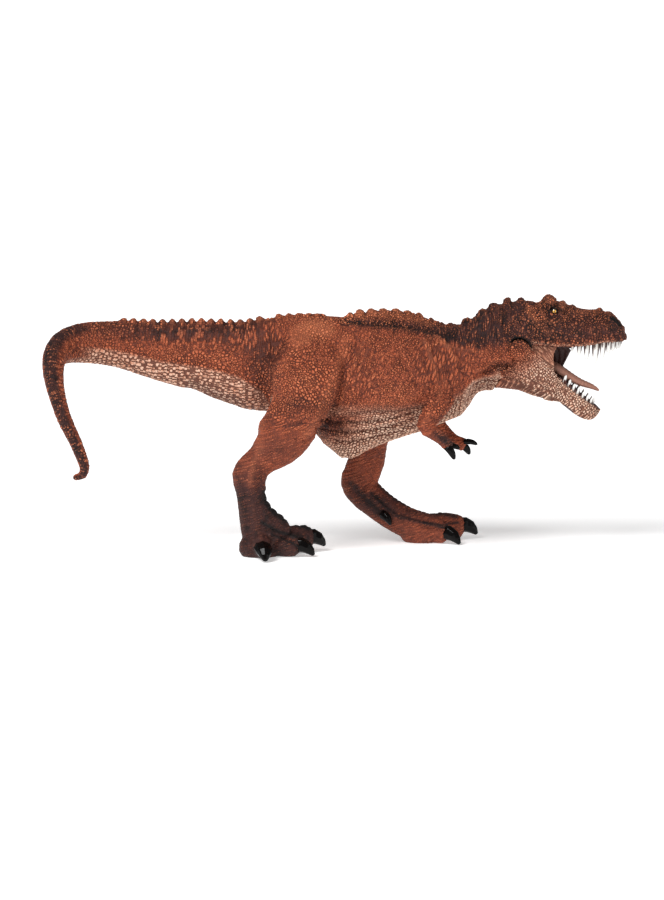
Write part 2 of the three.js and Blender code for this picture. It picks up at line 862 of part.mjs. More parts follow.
// Tongue: distance from the hinge, drop below it, half width and half thickness
const tongueShares = [
  [0.2, 0.31, 0.62, 0.7],
  [0.34, 0.27, 0.72, 0.8],
  [0.45, 0.315, 0.94, 1],
  [0.55, 0.39, 1, 1],
  [0.655, 0.465, 0.94, 0.85],
  [0.775, 0.535, 0.78, 0.66],
  [0.9, 0.585, 0.58, 0.5],
  [0.98, 0.63, 0.34, 0.3],
];

function tongue() {
  const rows = tongueShares.map(([along, drop, wide, thick]) => {
    const half = (thick * tongueThickness) / 2;
    const height = hingeHeight - drop * jawDrop;
    return [hingeX + along * jawLength, 0, height, (wide * tongueWidth) / 2, half, half];
  });
  return skin(rows, { sides: 12, startCap: tongueCap, endCap: tongueCap, full: 2.3 });
}

function buildMouth() {
  add("upper_teeth", toothStrip(upperToothPlaces(), upperToothRadius, upperToothLean, -1), "tooth");
  add("lower_teeth", toothStrip(lowerToothPlaces(), lowerToothRadius, lowerToothLean, 1), "tooth");
  add("tongue", tongue(), "tongue");
}

// A leg: reach from the hip, height, distance out, fore and aft radius, half width
const rightLegShares = [
  [0, 1, 0.74, 0.79, 0.72],
  [-0.08, 0.9, 0.87, 1, 1],
  [-0.17, 0.745, 0.93, 0.8, 1],
  [-0.44, 0.595, 1, 0.735, 0.92],
  [-0.58, 0.533, 1.04, 0.6, 0.82],
  [-0.785, 0.48, 1.06, 0.445, 0.68],
  [-0.925, 0.441, 1.06, 0.445, 0.6],
  [-1.005, 0.392, 1.05, 0.485, 0.56],
  [-0.99, 0.316, 1.03, 0.395, 0.5],
  [-0.953, 0.249, 1, 0.41, 0.52],
  [-0.88, 0.185, 0.98, 0.515, 0.58],
  [-0.78, 0.128, 0.96, 0.66, 0.66],
  [-0.66, 0.07, 0.95, 0.7, 0.7],
];
const leftLegShares = [
  [0, 1, 0.74, 0.79, 0.72],
  [0.15, 0.88, 0.87, 1, 1],
  [0.41, 0.745, 0.93, 0.89, 1],
  [0.6, 0.655, 1, 0.72, 0.94],
  [0.67, 0.575, 1.04, 0.58, 0.84],
  [0.64, 0.49, 1.05, 0.5, 0.72],
  [0.61, 0.4, 1.05, 0.5, 0.64],
  [0.545, 0.32, 1.04, 0.5, 0.6],
  [0.56, 0.255, 1.03, 0.48, 0.57],
  [0.7, 0.195, 1.02, 0.43, 0.55],
  [0.87, 0.14, 1.02, 0.42, 0.6],
  [1.03, 0.1, 1.02, 0.42, 0.66],
  [1.16, 0.075, 1.02, 0.44, 0.72],
  [1.34, 0.05, 1.02, 0.44, 0.74],
];

// Toes: reach forward from the foot's pad and outward from it at the claw, and how far the toe is lifted
const rightFootShares = {
  forward: -0.84,
  out: 0.96,
  toeShares: { outer: [0.05, 0.4, 0.05], middle: [0.61, 0.1, 0.08], inner: [0.84, -0.38, 0.38] },
  dewclawShares: { base: [-0.1, -0.36, 0.5], tip: [-0.24, -0.46, 0.32] },
};
const leftFootShares = {
  forward: 1.22,
  out: 1.04,
  toeShares: { outer: [0.36, 0.44, 0], middle: [0.66, 0.2, 0.3], inner: [0.38, -0.24, 0] },
  dewclawShares: { base: [-0.715, -0.24, 0.54], tip: [-0.568, -0.37, 0.383] },
};

function legSkin(side, shares, reach) {
  const rows = shares.map(([forward, high, out, deep, wide]) => {
    const radius = deep * thighRadius;
    const half = (wide * thighWidth) / 2;
    return [hipX + forward * reach, side * out * stance, high * legHeight, half, radius, radius];
  });
  return skin(rows, { sides: 16, facing: new THREE.Vector3(1, 0, 0), startCap: thighCap });
}

function footPad(side, reach, foot) {
  const high = footPadHeight / 2 - footPadSink;
  const centre = new THREE.Vector3(hipX + foot.forward * reach, side * foot.out * stance, high);
  return { centre, shape: ball(centre, footPadLength, footPadWidth, footPadHeight, 14) };
}

function toeEnd(pad, side, [forward, out, lift]) {
  const high = toeHeight * (1 + lift);
  return new THREE.Vector3(pad.x + forward * footLength, pad.y + side * out * footLength, high);
}

function toe(pad, end) {
  const root = new THREE.Vector3(pad.x, pad.y, toeHeight).lerp(end, toeRootShare);
  const knuckle = root.clone().lerp(end, toeKnucklePlaceShare);
  knuckle.z += toeKnuckleShare * toeRadius;
  const high = toeHeight + toeSink;
  const rows = [
    [...root.toArray(), toeRadius, high, high],
    [...knuckle.toArray(), toeRadius, high, high + toeKnuckleShare * toeRadius],
    [...end.toArray(), toeRadius * toeTaperShare, high * toeTaperShare, end.z + toeSink],
  ];
  return skin(rows, { sides: 12, endCap: toeRadius * toeTaperShare });
}

// A curved claw from a buried root to its tip
function claw(root, tip, radius, grow = 0) {
  const reach = tip.clone().sub(root);
  const arch = new THREE.Vector3(0, 0, clawArchShare * reach.length());
  const rows = clawShares.map(([along, lift, thick]) => {
    const point = root.clone().addScaledVector(reach, along).addScaledVector(arch, lift);
    return [...point.toArray(), thick * radius * clawNarrowShare, thick * radius, thick * radius];
  });
  return skin(rows, { sides: 8, steps: 1, endCap: clawTipShare * radius, grow });
}

const clawShares = [
  [0, 0, 1],
  [0.35, 0.75, 1],
  [0.65, 0.85, 0.82],
  [0.88, 0.45, 0.52],
  [1, 0, 0.22],
];
const clawArchShare = 0.2;
const clawNarrowShare = 0.82;
const clawTipShare = 0.12;
const toeRootShare = 0.1;
const toeKnuckleShare = 0.25;
const toeKnucklePlaceShare = 0.5;
const toeTaperShare = 0.86;
const clawDropShare = 0.8;
const dewclawShare = 0.6;

function toeClaw(pad, end) {
  const along = end.clone().sub(pad).setZ(0).normalize();
  const root = end.clone().addScaledVector(along, toeRadius * toeTaperShare - clawBury);
  const tip = root.clone().addScaledVector(along, clawLength);
  tip.z = end.z - clawDropShare * toeHeight;
  return [root, tip, clawRadius];
}

function dewclaw(pad, side, shares) {
  const place = ([forward, out, high]) =>
    new THREE.Vector3(pad.x + forward * footLength, pad.y + side * out * footLength, high * footLength);
  return [place(shares.base), place(shares.tip), clawRadius * dewclawShare];
}

// The trunk and tail with their clearance, past the trunk's end at the tail seam too
function bodyRoom() {
  return joined([trunkSkin(seatGap), trunkSkin(seatGap).translate([-seatGap, 0, 0]), tailSkin(seatGap)]);
}

function buildLeg(name, side, shares, reach, foot) {
  const pad = footPad(side, reach, foot);
  const parts = [legSkin(side, shares, reach), pad.shape];
  const claws = {};
  for (const [toeName, toeShare] of Object.entries(foot.toeShares)) {
    const end = toeEnd(pad.centre, side, toeShare);
    parts.push(toe(pad.centre, end));
    claws[`${name}_${toeName}_claw`] = toeClaw(pad.centre, end);
  }
  claws[`${name}_dewclaw`] = dewclaw(pad.centre, side, foot.dewclawShares);
  const floor = block(
    new THREE.Vector3(-trunkLength * 2, -trunkWidth * 2, -legHeight),
    new THREE.Vector3(trunkLength * 2, trunkWidth * 2, 0),
  );
  let leg = joined(parts).subtract(bodyRoom()).subtract(floor);
  for (const [root, tip, radius] of Object.values(claws)) {
    leg = leg.subtract(claw(root, tip, radius, seatGap));
  }
  add(`${name}_leg`, leg.add(hipPeg(side)), "hide");
  for (const [clawName, [root, tip, radius]] of Object.entries(claws)) {
    add(clawName, claw(root, tip, radius).subtract(floor), "claw");
  }
}

// An arm: reach forward of the shoulder, outward, drop and radius
const rightArmShares = [
  [0.2, -0.55, -0.1, 0.95],
  [0, 0, 0, 1],
  [-0.34, 0.55, 0.24, 0.88],
  [-0.62, 0.85, 0.45, 0.72],
  [-0.32, 1, 0.58, 0.6],
  [0.1, 1, 0.74, 0.52],
  [0.4, 1, 0.9, 0.51],
];
const leftArmShares = [
  [0.2, -0.55, -0.1, 0.95],
  [0, 0, 0, 1],
  [-0.3, 0.55, 0.28, 0.9],
  [-0.42, 0.85, 0.55, 0.74],
  [0.05, 0.95, 0.82, 0.65],
  [0.6, 0.8, 1.1, 0.52],
  [1.06, 0.7, 1.22, 0.6],
];
const armFlatShare = 0.85;
// Finger claws: reach forward of the hand, outward and drop, for root and tip
const rightFingerShares = {
  front: { root: [0.06, -0.25, 0.02], tip: [0.38, -0.25, 0.12] },
  rear: { root: [-0.02, 0.25, 0.04], tip: [0.2, 0.4, 0.36] },
};
const leftFingerShares = {
  front: { root: [0.1, -0.25, -0.06], tip: [0.5, -0.3, 0.02] },
  rear: { root: [0, 0.25, 0.04], tip: [0.22, 0.3, 0.3] },
};

function buildArm(name, side, shares, fingerShares) {
  const shoulder = new THREE.Vector3(shoulderX, side * shoulderSpread, shoulderHeight);
  const rows = shares.map(([forward, out, drop, thick]) => {
    const radius = thick * armRadius;
    const x = shoulder.x + forward * armReach;
    const y = shoulder.y + side * out * armSpread;
    return [x, y, shoulder.z - drop * armDrop, radius * armFlatShare, radius, radius];
  });
  const [handX, handY, handZ] = rows[rows.length - 1];
  const place = ([forward, out, drop]) =>
    new THREE.Vector3(handX + forward * armReach, handY + side * out * armSpread, handZ - drop * armDrop);
  const facing = new THREE.Vector3(1, 0, 0);
  const whole = skin(rows, { sides: 12, facing, startCap: armRadius / 2, endCap: handCap });
  let arm = whole.subtract(trunkSkin(seatGap));
  for (const [finger, { root, tip }] of Object.entries(fingerShares)) {
    arm = arm.subtract(claw(place(root), place(tip), fingerClawRadius, seatGap));
    add(`${name}_${finger}_finger_claw`, claw(place(root), place(tip), fingerClawRadius), "claw");
  }
  add(`${name}_arm`, arm.add(armPeg(side)), "hide");
}

buildTrunk();
buildTail();
buildHead();
buildJaw();
buildMouth();
buildLeg("right", -1, rightLegShares, rightLegTrail, rightFootShares);
buildLeg("left", 1, leftLegShares, leftLegStride, leftFootShares);
buildArm("right", -1, rightArmShares, rightFingerShares);
buildArm("left", 1, leftArmShares, leftFingerShares);

// The figure stands with the middle of its outline over the origin
const outline = new THREE.Box3().setFromObject(figure);
const middle = outline.getCenter(new THREE.Vector3());
figure.position.set(-middle.x, -middle.y, -outline.min.z);

export default figure;
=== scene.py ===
"""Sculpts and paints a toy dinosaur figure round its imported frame, in metres, nose toward +X and +Z up."""

import json
import math
from collections import defaultdict

import bmesh
import bpy
import numpy as np
from bpy.props import FloatProperty, FloatVectorProperty, IntProperty, PointerProperty
from mathutils import Matrix, Vector


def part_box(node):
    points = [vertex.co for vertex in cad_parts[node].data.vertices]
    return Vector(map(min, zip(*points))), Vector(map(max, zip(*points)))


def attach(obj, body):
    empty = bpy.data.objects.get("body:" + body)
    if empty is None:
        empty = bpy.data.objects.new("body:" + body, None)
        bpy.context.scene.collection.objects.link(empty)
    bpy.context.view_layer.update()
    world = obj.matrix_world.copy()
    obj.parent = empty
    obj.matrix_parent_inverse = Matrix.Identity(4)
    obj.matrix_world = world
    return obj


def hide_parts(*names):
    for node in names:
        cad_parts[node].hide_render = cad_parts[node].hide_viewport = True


bl_info = {
    "name": "Toy dinosaur figure",
    "version": (1, 0, 0),
    "blender": (4, 5, 0),
    "location": "3D View > Sidebar > Figure",
    "description": "Sculpts, scales and paints a striding toy dinosaur round its frame",
    "category": "Add Mesh",
}

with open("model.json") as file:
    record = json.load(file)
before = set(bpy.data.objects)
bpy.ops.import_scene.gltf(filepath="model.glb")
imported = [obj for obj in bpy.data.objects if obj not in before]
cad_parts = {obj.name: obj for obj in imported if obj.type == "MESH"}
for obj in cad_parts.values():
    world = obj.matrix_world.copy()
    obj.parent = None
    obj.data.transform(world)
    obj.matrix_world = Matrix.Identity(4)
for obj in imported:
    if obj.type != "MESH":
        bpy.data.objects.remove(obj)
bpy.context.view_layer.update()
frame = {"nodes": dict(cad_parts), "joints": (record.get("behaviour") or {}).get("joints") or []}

MM = 0.001

# The side view that the forms below are drawn over: its scale, middle column, floor row and tilt
PIXEL = 0.5137 * MM
MIDDLE_COLUMN = 335
FLOOR_ROW = 549
TILT = math.radians(9)

HINGE = Vector(frame["joints"][0]["pos_m"])

BODY_NODES = ["torso", "tail", "head", "right_leg", "left_leg", "right_arm", "left_arm"]
PAINT_VALUES = ["pale", "dark", "bright", "upright", "form", "mouth", "fine", "strength"]


def linear(colour):
    """A screen colour such as 0x9B5238 as the shader's own red, green and blue."""
    channels = [(colour >> shift & 255) / 255 for shift in (16, 8, 0)]
    return [c / 12.92 if c <= 0.04045 else ((c + 0.055) / 1.055) ** 2.4 for c in channels]


def length_property(name, text, default):
    return FloatProperty(name=name, description=text, default=default, min=0, unit="LENGTH")


def light_property(name, text, default):
    return FloatProperty(name=name, description=text, default=default, min=0)


def colour_property(name, text, default):
    return FloatVectorProperty(
        name=name, description=text, subtype="COLOR", min=0, max=1, default=linear(default)
    )


class FigureSizes(bpy.types.PropertyGroup):
    """Sizes of the sculpted skin."""

    grain: length_property("Mesh grain", "Size of a face of the skin", 0.45 * MM)
    jaw_grain: length_property("Jaw grain", "Size of a face of the jaw's skin", 0.38 * MM)
    claw_grain: length_property("Claw grain", "Size of a face of a claw or the tongue", 0.3 * MM)
    cover: length_property("Joint cover", "How far skin closes over a glued joint", 0.4 * MM)
    rounding: IntProperty(
        name="Rounding", description="Smoothing passes over all of the skin", default=6, min=0
    )
    broad_rounding: IntProperty(
        name="Broad rounding", description="Further passes over broad forms", default=70, min=0
    )
    pebble: length_property("Pebble", "Width of a round scale on the flank", 1.6 * MM)
    pebble_height: length_property("Pebble height", "How high scales stand", 0.34 * MM)


class FigureColours(bpy.types.PropertyGroup):
    """Paints of the figure."""

    flank: colour_property("Flank", "Orange-brown of the flanks", 0xB65A3A)
    back: colour_property("Back", "Dark brown of back, head top and feet", 0x4C2A25)
    belly: colour_property("Belly", "Tan of belly, throat and jaw", 0xD29274)
    # The wash also paints shade into the drawn creases
    wash: colour_property("Wash", "Dark wash that stays in the borders of scales", 0x2C1311)
    pale_wash: colour_property("Pale wash", "Wash between pale scales", 0x542A22)
    # The black also paints the shadow in the jaw's slit
    black: colour_property("Black", "Black of the slit, nostril and toe scutes", 0x120B0B)
    # The dry brush also paints highlight on the drawn ridges and in the lit patches
    brush: colour_property("Dry brush", "Orange that catches on the scales' tops", 0xD67C55)
    pale_brush: colour_property("Pale brush", "Tan that catches on pale scales", 0xF4CDB4)
    mouth: colour_property("Mouth", "Brown of the mouth's roof and floor", 0x4E2C27)
    claw: colour_property("Claw", "Black of the claws", 0x070505)
    tooth: colour_property("Tooth", "White of the teeth", 0xF3F1ED)
    tongue: colour_property("Tongue", "Dusky pink of the tongue", 0xB07C6A)
    iris: colour_property("Iris", "Yellow of the eyes", 0xF0AE10)
    pin: colour_property("Pin", "Steel of the jaw's pin", 0xB4B7BA)


class Nodes:
    """A node tree that Python expressions fill."""

    def __init__(self, tree):
        self.tree = tree
        self.is_shader = tree.bl_idname == "ShaderNodeTree"

    def node(self, kind, settings=None, inputs=None, output=0):
        made = self.tree.nodes.new(kind)
        for name, value in (settings or {}).items():
            setattr(made, name, value)
        for name, value in (inputs or {}).items():
            if isinstance(value, Value):
                self.tree.links.new(value.socket, made.inputs[name])
            else:
                made.inputs[name].default_value = value
        return Value(self, made.outputs[output]) if len(made.outputs) else made

    def attribute(self, name, kind="FLOAT"):
        """A value that the mesh carries at each point."""
        if self.is_shader:
            output = "Vector" if kind == "FLOAT_VECTOR" else "Fac"
            return self.node("ShaderNodeAttribute", {"attribute_name": name}, output=output)
        return self.node("GeometryNodeInputNamedAttribute", {"data_type": kind}, {"Name": name})

    def noise(self, place, size, detail=2.0, roughness=0.55):
        """Cloudy variation from 0 to 1 whose clouds are about one size across."""
        inputs = {"Vector": place, "Scale": 1 / size, "Detail": detail, "Roughness": roughness}
        return self.node("ShaderNodeTexNoise", None, inputs)

    def shaken(self, place, size, reach):
        """Places pushed about by clouds one size across."""
        inputs = {"Vector": place, "Scale": 1 / size, "Detail": 1.0}
        push = self.node("ShaderNodeTexNoise", None, inputs, output="Color")
        inputs = {0: push, 1: (reach, reach, reach), 2: place}
        return self.node("ShaderNodeVectorMath", {"operation": "MULTIPLY_ADD"}, inputs)

    def mix(self, share, first, second):
        """Two colours mixed."""
        settings = {"data_type": "RGBA", "clamp_factor": True}
        inputs = {0: share, 6: as_colour(first), 7: as_colour(second)}
        return self.node("ShaderNodeMix", settings, inputs, output=2)

    def cells(self, place, looseness):
        """Height of rounded cells one unit across: 0 in their borders and 1 on their tops."""
        settings = {"feature": "DISTANCE_TO_EDGE"}
        inputs = {"Vector": place, "Scale": 1.0, "Randomness": looseness}
        return self.node("ShaderNodeTexVoronoi", settings, inputs).rise(0.0, 0.27)


class Value:
    """A node's output, which Python arithmetic turns into Math nodes."""

    def __init__(self, nodes, socket):
        self.nodes = nodes
        self.socket = socket

    def math(self, operation, *others, clamp=False):
        settings = {"operation": operation, "use_clamp": clamp}
        return self.nodes.node("ShaderNodeMath", settings, dict(enumerate([self, *others])))

    def __add__(self, other):
        return self.math("ADD", other)

    def __sub__(self, other):
        return self.math("SUBTRACT", other)

    def __mul__(self, other):
        return self.math("MULTIPLY", other)

    def __truediv__(self, other):
        return self.math("DIVIDE", other)

    def __rsub__(self, other):
        return (self * -1.0) + other

    __radd__ = __add__
    __rmul__ = __mul__

    def clamp(self):
        return self.math("ADD", 0.0, clamp=True)

    def rise(self, start, end):
        """Rises smoothly from 0 at start to 1 at end."""
        settings = {"interpolation_type": "SMOOTHSTEP", "clamp": True}
        inputs = {"Value": self, "From Min": start, "From Max": end}
        return self.nodes.node("ShaderNodeMapRange", settings, inputs)

    def stretched(self, across, along=None, up=None):
        """A vector with each of its parts scaled."""
        along = across if along is None else along
        inputs = {0: self, 1: (across, along, along if up is None else up)}
        return self.nodes.node("ShaderNodeVectorMath", {"operation": "MULTIPLY"}, inputs)


def as_colour(value):
    return value if isinstance(value, Value) else (*value[:3], 1.0)


# How far and over what size the skin's pebbles, and its rows of scales, are pushed out of line
PEBBLE_DRIFT = (2.6 * MM, 1.2 * MM)
ROW_DRIFT = (3.2 * MM, 1.1 * MM)

# Size of the clouds in which pebbles are smaller, and the small pebbles' width next to the others'
SMALL_CLOUD = 9 * MM
SMALL_SHARE = 0.66

# Width and length of wrinkles and of the rows' scales next to a pebble's width
WRINKLE_SHARES = (0.95, 4)
GRID_SHARES = (1.1, 0.8)
SMALL_GRID_SHARES = (0.8, 0.7)
BRICK_SHARES = (1.7, 1.3)


def skin_cells(nodes, pebble):
    """Height of scales and wrinkles on the skin: pebbles, upright wrinkles, and a grid where it is pale."""
    place = nodes.attribute("place", "FLOAT_VECTOR")
    course = nodes.attribute("course", "FLOAT_VECTOR")
    pale = nodes.attribute("pale")
    upright = nodes.attribute("upright")
    fine = nodes.attribute("fine")
    loose = nodes.shaken(place, *PEBBLE_DRIFT)
    loose_course = nodes.shaken(course, *ROW_DRIFT)

    def along_rows(shares, looseness):
        across, along = (1 / (share * pebble) for share in shares)
        return nodes.cells(loose_course.stretched(across, along), looseness)

    broad = nodes.cells(loose.stretched(1 / pebble), 1.0)
    small = nodes.cells(loose.stretched(1 / (SMALL_SHARE * pebble)), 1.0)
    share = (fine + nodes.noise(place, SMALL_CLOUD).rise(0.42, 0.6) * 0.75).clamp()
    pebbles = broad * (1 - share) + small * share
    wrinkles = along_rows(WRINKLE_SHARES, 1.0)
    grid = along_rows(GRID_SHARES, 0.7)
    small_grid = along_rows(SMALL_GRID_SHARES, 0.6)
    bricks = along_rows(BRICK_SHARES, 0.8)
    skin = pebbles + (wrinkles * (0.55 + pebbles * 0.45) - pebbles) * upright
    rows = grid + (small_grid - grid) * fine.clamp() + (bricks - grid) * (fine * -1.0).clamp()
    rows = rows + (wrinkles * (0.4 + rows * 0.6) - rows) * upright * 0.8
    return skin + (rows - skin) * pale


def new_shader(name):
    """A new material, its node expressions, and its shader node."""
    material = bpy.data.materials.new(name)
    material.use_nodes = True
    shader = material.node_tree.nodes["Principled BSDF"]
    return material, Nodes(material.node_tree), shader


def feed(nodes, shader, **sockets):
    """Links values to a shader's sockets, and sets those that are plain numbers."""
    for name, value in sockets.items():
        socket = shader.inputs[name.replace("_", " ")]
        if isinstance(value, Value):
            nodes.tree.links.new(value.socket, socket)
        else:
            socket.default_value = value


def bump(nodes, height, distance, strength=1.0):
    inputs = {"Height": height, "Distance": distance, "Strength": strength}
    return nodes.node("ShaderNodeBump", None, inputs)


# Sizes of the clouds, flecks and grain in the skin's paint, and how deep its bump is
PAINT_CLOUD = 14 * MM
PAINT_SOOT = 5.5 * MM
PAINT_FLECK = 2.2 * MM
PAINT_SPARK = 1.1 * MM
PAINT_GRAIN = 0.6 * MM
SKIN_BUMP = 0.75 * MM


def hide_material(sizes, colours):
    """Painted PVC skin: base coat by zones, dark wash in the borders, dry brush on the tops, painted shade
    in the drawn creases and painted highlight on the drawn ridges.
    """
    material, nodes, shader = new_shader("painted_hide")
    place = nodes.attribute("place", "FLOAT_VECTOR")
    pale = nodes.attribute("pale")
    dark = nodes.attribute("dark")
    bright = nodes.attribute("bright")
    form = nodes.attribute("form")
    mouth = nodes.attribute("mouth")
    strength = nodes.attribute("strength")
    cells = skin_cells(nodes, sizes.pebble)
    cloud = nodes.noise(place, PAINT_CLOUD, 3.0)
    fleck = nodes.noise(place, PAINT_FLECK, 3.0)
    spark = nodes.noise(place, PAINT_SPARK, 2.0)
    grain = nodes.noise(place, PAINT_GRAIN, 2.0)
    soot = nodes.noise(place, PAINT_SOOT, 4.0).rise(0.46, 0.64) * dark.clamp()

    base = nodes.mix(dark, colours.flank, colours.back)
    base = nodes.mix(pale, base, colours.belly)
    border = 1 - cells.rise(0.0, 0.85)
    # Painted shade: the drawn creases darken toward the wash colour
    crease = (form * -1.0).rise(0.08, 0.9) * (0.4 + pale * 0.45)
    depth = (border * (0.95 + pale * 0.4) + crease) * (0.35 + 0.65 * strength)
    depth = (depth + (fleck - 0.5) * 0.45 + (spark - 0.5) * 0.6 + (cloud - 0.5) * 0.35).clamp()
    coat = nodes.mix(depth * 0.85, base, nodes.mix(pale, colours.wash, colours.pale_wash))
    coat = nodes.mix(soot * 0.72, coat, colours.black)
    tops = cells.rise(0.35, 0.95) * (fleck * 2.0 + cloud * 1.0 + spark * 2.6 - 2.15).clamp()
    # Painted highlight: the drawn ridges take the dry brush colour
    tops = tops * strength + form.rise(0.12, 0.8) * 0.2
    # The bright zone holds both dry brush and patches of painted highlight
    tops = (tops * (0.2 + bright + dark.clamp() * 0.15 + pale * 0.35)).clamp()
    brush = nodes.mix(pale, colours.brush, colours.pale_brush)
    coat = nodes.mix(tops, coat, brush)
    # Black where dark passes 1: the head's lines, the painted shadow in the jaw's slit, the scutes and the
    # painted shade in the limbs' grooves
    coat = nodes.mix((dark - 1).clamp(), coat, colours.black)
    coat = nodes.mix(mouth, coat, colours.mouth)

    relief = cells * strength + grain * 0.25
    feed(
        nodes,
        shader,
        Base_Color=coat,
        Roughness=0.62 - tops * 0.12 - mouth * 0.25,
        Normal=bump(nodes, relief, SKIN_BUMP),
    )
    shader.inputs["Specular IOR Level"].default_value = 0.26
    return material


# Plain finishes: colour, shade of the mottling, roughness, size and depth of the marks, and shine
FINISHES = {
    "painted_claw": ("claw", 1.6, 0.2, 0.9 * MM, 0.03 * MM, 0.14),
    "painted_tongue": ("tongue", 0.3, 0.45, 1.0 * MM, 0.35 * MM, 0.3),
    "mouth_skin": ("mouth", 0.5, 0.5, 1.1 * MM, 0.15 * MM, 0.5),
    "drawn_wire": ("pin", 0.7, 0.35, 0.5 * MM, 0.01 * MM, 0.5),
}


def plain_finish(name, colours):
    """A moulded or drawn finish with mottled colour, uneven gloss and fine marks."""
    paint, shade, roughness, mark_size, mark_depth, shine = FINISHES[name]
    colour = getattr(colours, paint)
    material, nodes, shader = new_shader(name)
    place = nodes.node("ShaderNodeTexCoord", output="Object")
    cloud = nodes.noise(place, 6 * mark_size, 3.0)
    marks = nodes.noise(place.stretched(1.0, 1.0, 0.35), mark_size, 3.0)
    share = (cloud * 0.8 + marks * 0.5 - 0.35).clamp()
    feed(
        nodes,
        shader,
        Base_Color=nodes.mix(share, colour, [shade * channel for channel in colour]),
        Roughness=roughness + (marks - 0.5) * 0.25,
        Normal=bump(nodes, marks, mark_depth),
    )
    shader.inputs["Specular IOR Level"].default_value = shine
    return material


# Size and depth of the streaks in the teeth's paint, and size of the flecks in the iris
TOOTH_STREAK = 0.5 * MM
TOOTH_BUMP = 0.03 * MM
IRIS_FLECK = 0.35 * MM


def tooth_material(colours):
    """White tooth paint that turns ivory toward the brown gum, with dark wash at each side and painted shade
    on the faces turned into the mouth.
    """
    material, nodes, shader = new_shader("painted_tooth")
    toward_root = nodes.attribute("root")
    side_wash_and_shade = nodes.attribute("side")
    place = nodes.node("ShaderNodeTexCoord", output="Object")
    streaks = nodes.noise(place.stretched(1.0, 1.0, 0.2), TOOTH_STREAK)
    ivory = [channel * shade for channel, shade in zip(colours.tooth, (0.84, 0.76, 0.64))]
    share = (toward_root.rise(0.5, 0.95) * 0.6 + (streaks - 0.5) * 0.3).clamp()
    coat = nodes.mix(share, colours.tooth, ivory)
    # Dark wash at the teeth's edges and painted shade on their faces turned into the mouth
    between = side_wash_and_shade.rise(0.42, 0.72) * toward_root.rise(0.2, 0.5) * 0.95
    gum = (toward_root.rise(0.86, 0.97) + between).clamp()
    coat = nodes.mix(gum, coat, colours.mouth)
    feed(nodes, shader, Base_Color=coat, Roughness=0.3, Normal=bump(nodes, streaks, TOOTH_BUMP))
    return material


def eye_material(colours):
    """Dark glossy eye with a yellow iris and an upright slit."""
    material, nodes, shader = new_shader("painted_eye")
    around = nodes.attribute("around_iris")
    across = nodes.attribute("across_slit")
    place = nodes.node("ShaderNodeTexCoord", output="Object")
    flecks = nodes.noise(place, IRIS_FLECK, 3.0)
    iris = nodes.mix((flecks - 0.35).clamp(), colours.iris, linear(0xB8660A))
    inside = 1 - around.rise(0.4, 0.54)
    slit = 1 - across.rise(0.07, 0.14)
    coat = nodes.mix(inside * (1 - slit), linear(0x120A08), iris)
    feed(nodes, shader, Base_Color=coat, Roughness=0.08)
    shader.inputs["Coat Weight"].default_value = 1.0
    return material


def activate(piece):
    bpy.ops.object.select_all(action="DESELECT")
    piece.select_set(True)
    bpy.context.view_layer.objects.active = piece


def apply_modifier(piece, kind, **settings):
    modifier = piece.modifiers.new(kind.lower(), kind)
    for name, value in settings.items():
        setattr(modifier, name, value)
    activate(piece)
    bpy.ops.object.modifier_apply(modifier=modifier.name)


def link(name, mesh):
    piece = bpy.data.objects.new(name, mesh)
    bpy.context.scene.collection.objects.link(piece)
    return piece


# How close corners lie that are one
SAME_POINT = 0.001 * MM


def merged_copy(node):
    """A solid's own copy, with the corners of its loose triangles joined."""
    piece = link(node + "_form", frame["nodes"][node].data.copy())
    piece.data.materials.clear()
    activate(piece)
    bpy.ops.object.mode_set(mode="EDIT")
    bpy.ops.mesh.select_all(action="SELECT")
    bpy.ops.mesh.remove_doubles(threshold=SAME_POINT)
    bpy.ops.object.mode_set(mode="OBJECT")
    return piece


def joined(pieces, name):
    activate(pieces[0])
    for piece in pieces:
        piece.select_set(True)
    if len(pieces) > 1:
        bpy.ops.object.join()
    pieces[0].name = name
    return pieces[0]


def biggest_island(piece):
    """Keeps the outer skin and drops what a closed joint leaves inside it."""
    activate(piece)
    bpy.ops.mesh.separate(type="LOOSE")
    parts = list(bpy.context.selected_objects)
    parts.sort(key=lambda part: len(part.data.vertices))
    for part in parts[:-1]:
        bpy.data.objects.remove(part)
    return parts[-1]


def points_of(mesh):
    values = np.empty(len(mesh.vertices) * 3)
    mesh.vertices.foreach_get("co", values)
    return values.reshape(-1, 3)


def normals_of(mesh):
    values = np.empty(len(mesh.vertices) * 3)
    mesh.vertex_normals.foreach_get("vector", values)
    return values.reshape(-1, 3)


def set_points(mesh, points):
    mesh.vertices.foreach_set("co", points.ravel())
    mesh.update()


def set_values(mesh, name, values, kind="FLOAT", domain="POINT"):
    layer = mesh.attributes.get(name) or mesh.attributes.new(name, kind, domain)
    slot = "vector" if kind == "FLOAT_VECTOR" else "value"
    layer.data.foreach_set(slot, np.ascontiguousarray(values).ravel())


def get_values(mesh, name, kind=float):
    layer = mesh.attributes[name]
    values = np.empty(len(layer.data), kind)
    layer.data.foreach_get("value", values)
    return values


def geometry_group(name, build):
    """A geometry node group from its entry geometry to what build makes of it."""
    group = bpy.data.node_groups.new(name, "GeometryNodeTree")
    for way in ("INPUT", "OUTPUT"):
        group.interface.new_socket("Geometry", in_out=way, socket_type="NodeSocketGeometry")
    nodes = Nodes(group)
    made = build(nodes, nodes.node("NodeGroupInput"))
    nodes.node("NodeGroupOutput", None, {0: made})
    return group


def stored(nodes, geometry, name, value, kind="FLOAT", domain="POINT"):
    settings = {"data_type": kind, "domain": domain}
    inputs = {"Geometry": geometry, "Name": name, "Value": value}
    return nodes.node("GeometryNodeStoreNamedAttribute", settings, inputs)


def smoothed(piece, grain, passes):
    """Gives a piece an even mesh, and rounds and shades it smooth."""
    apply_modifier(piece, "REMESH", mode="VOXEL", voxel_size=grain)
    apply_modifier(piece, "SMOOTH", factor=0.5, iterations=passes)
    activate(piece)
    bpy.ops.object.shade_smooth()


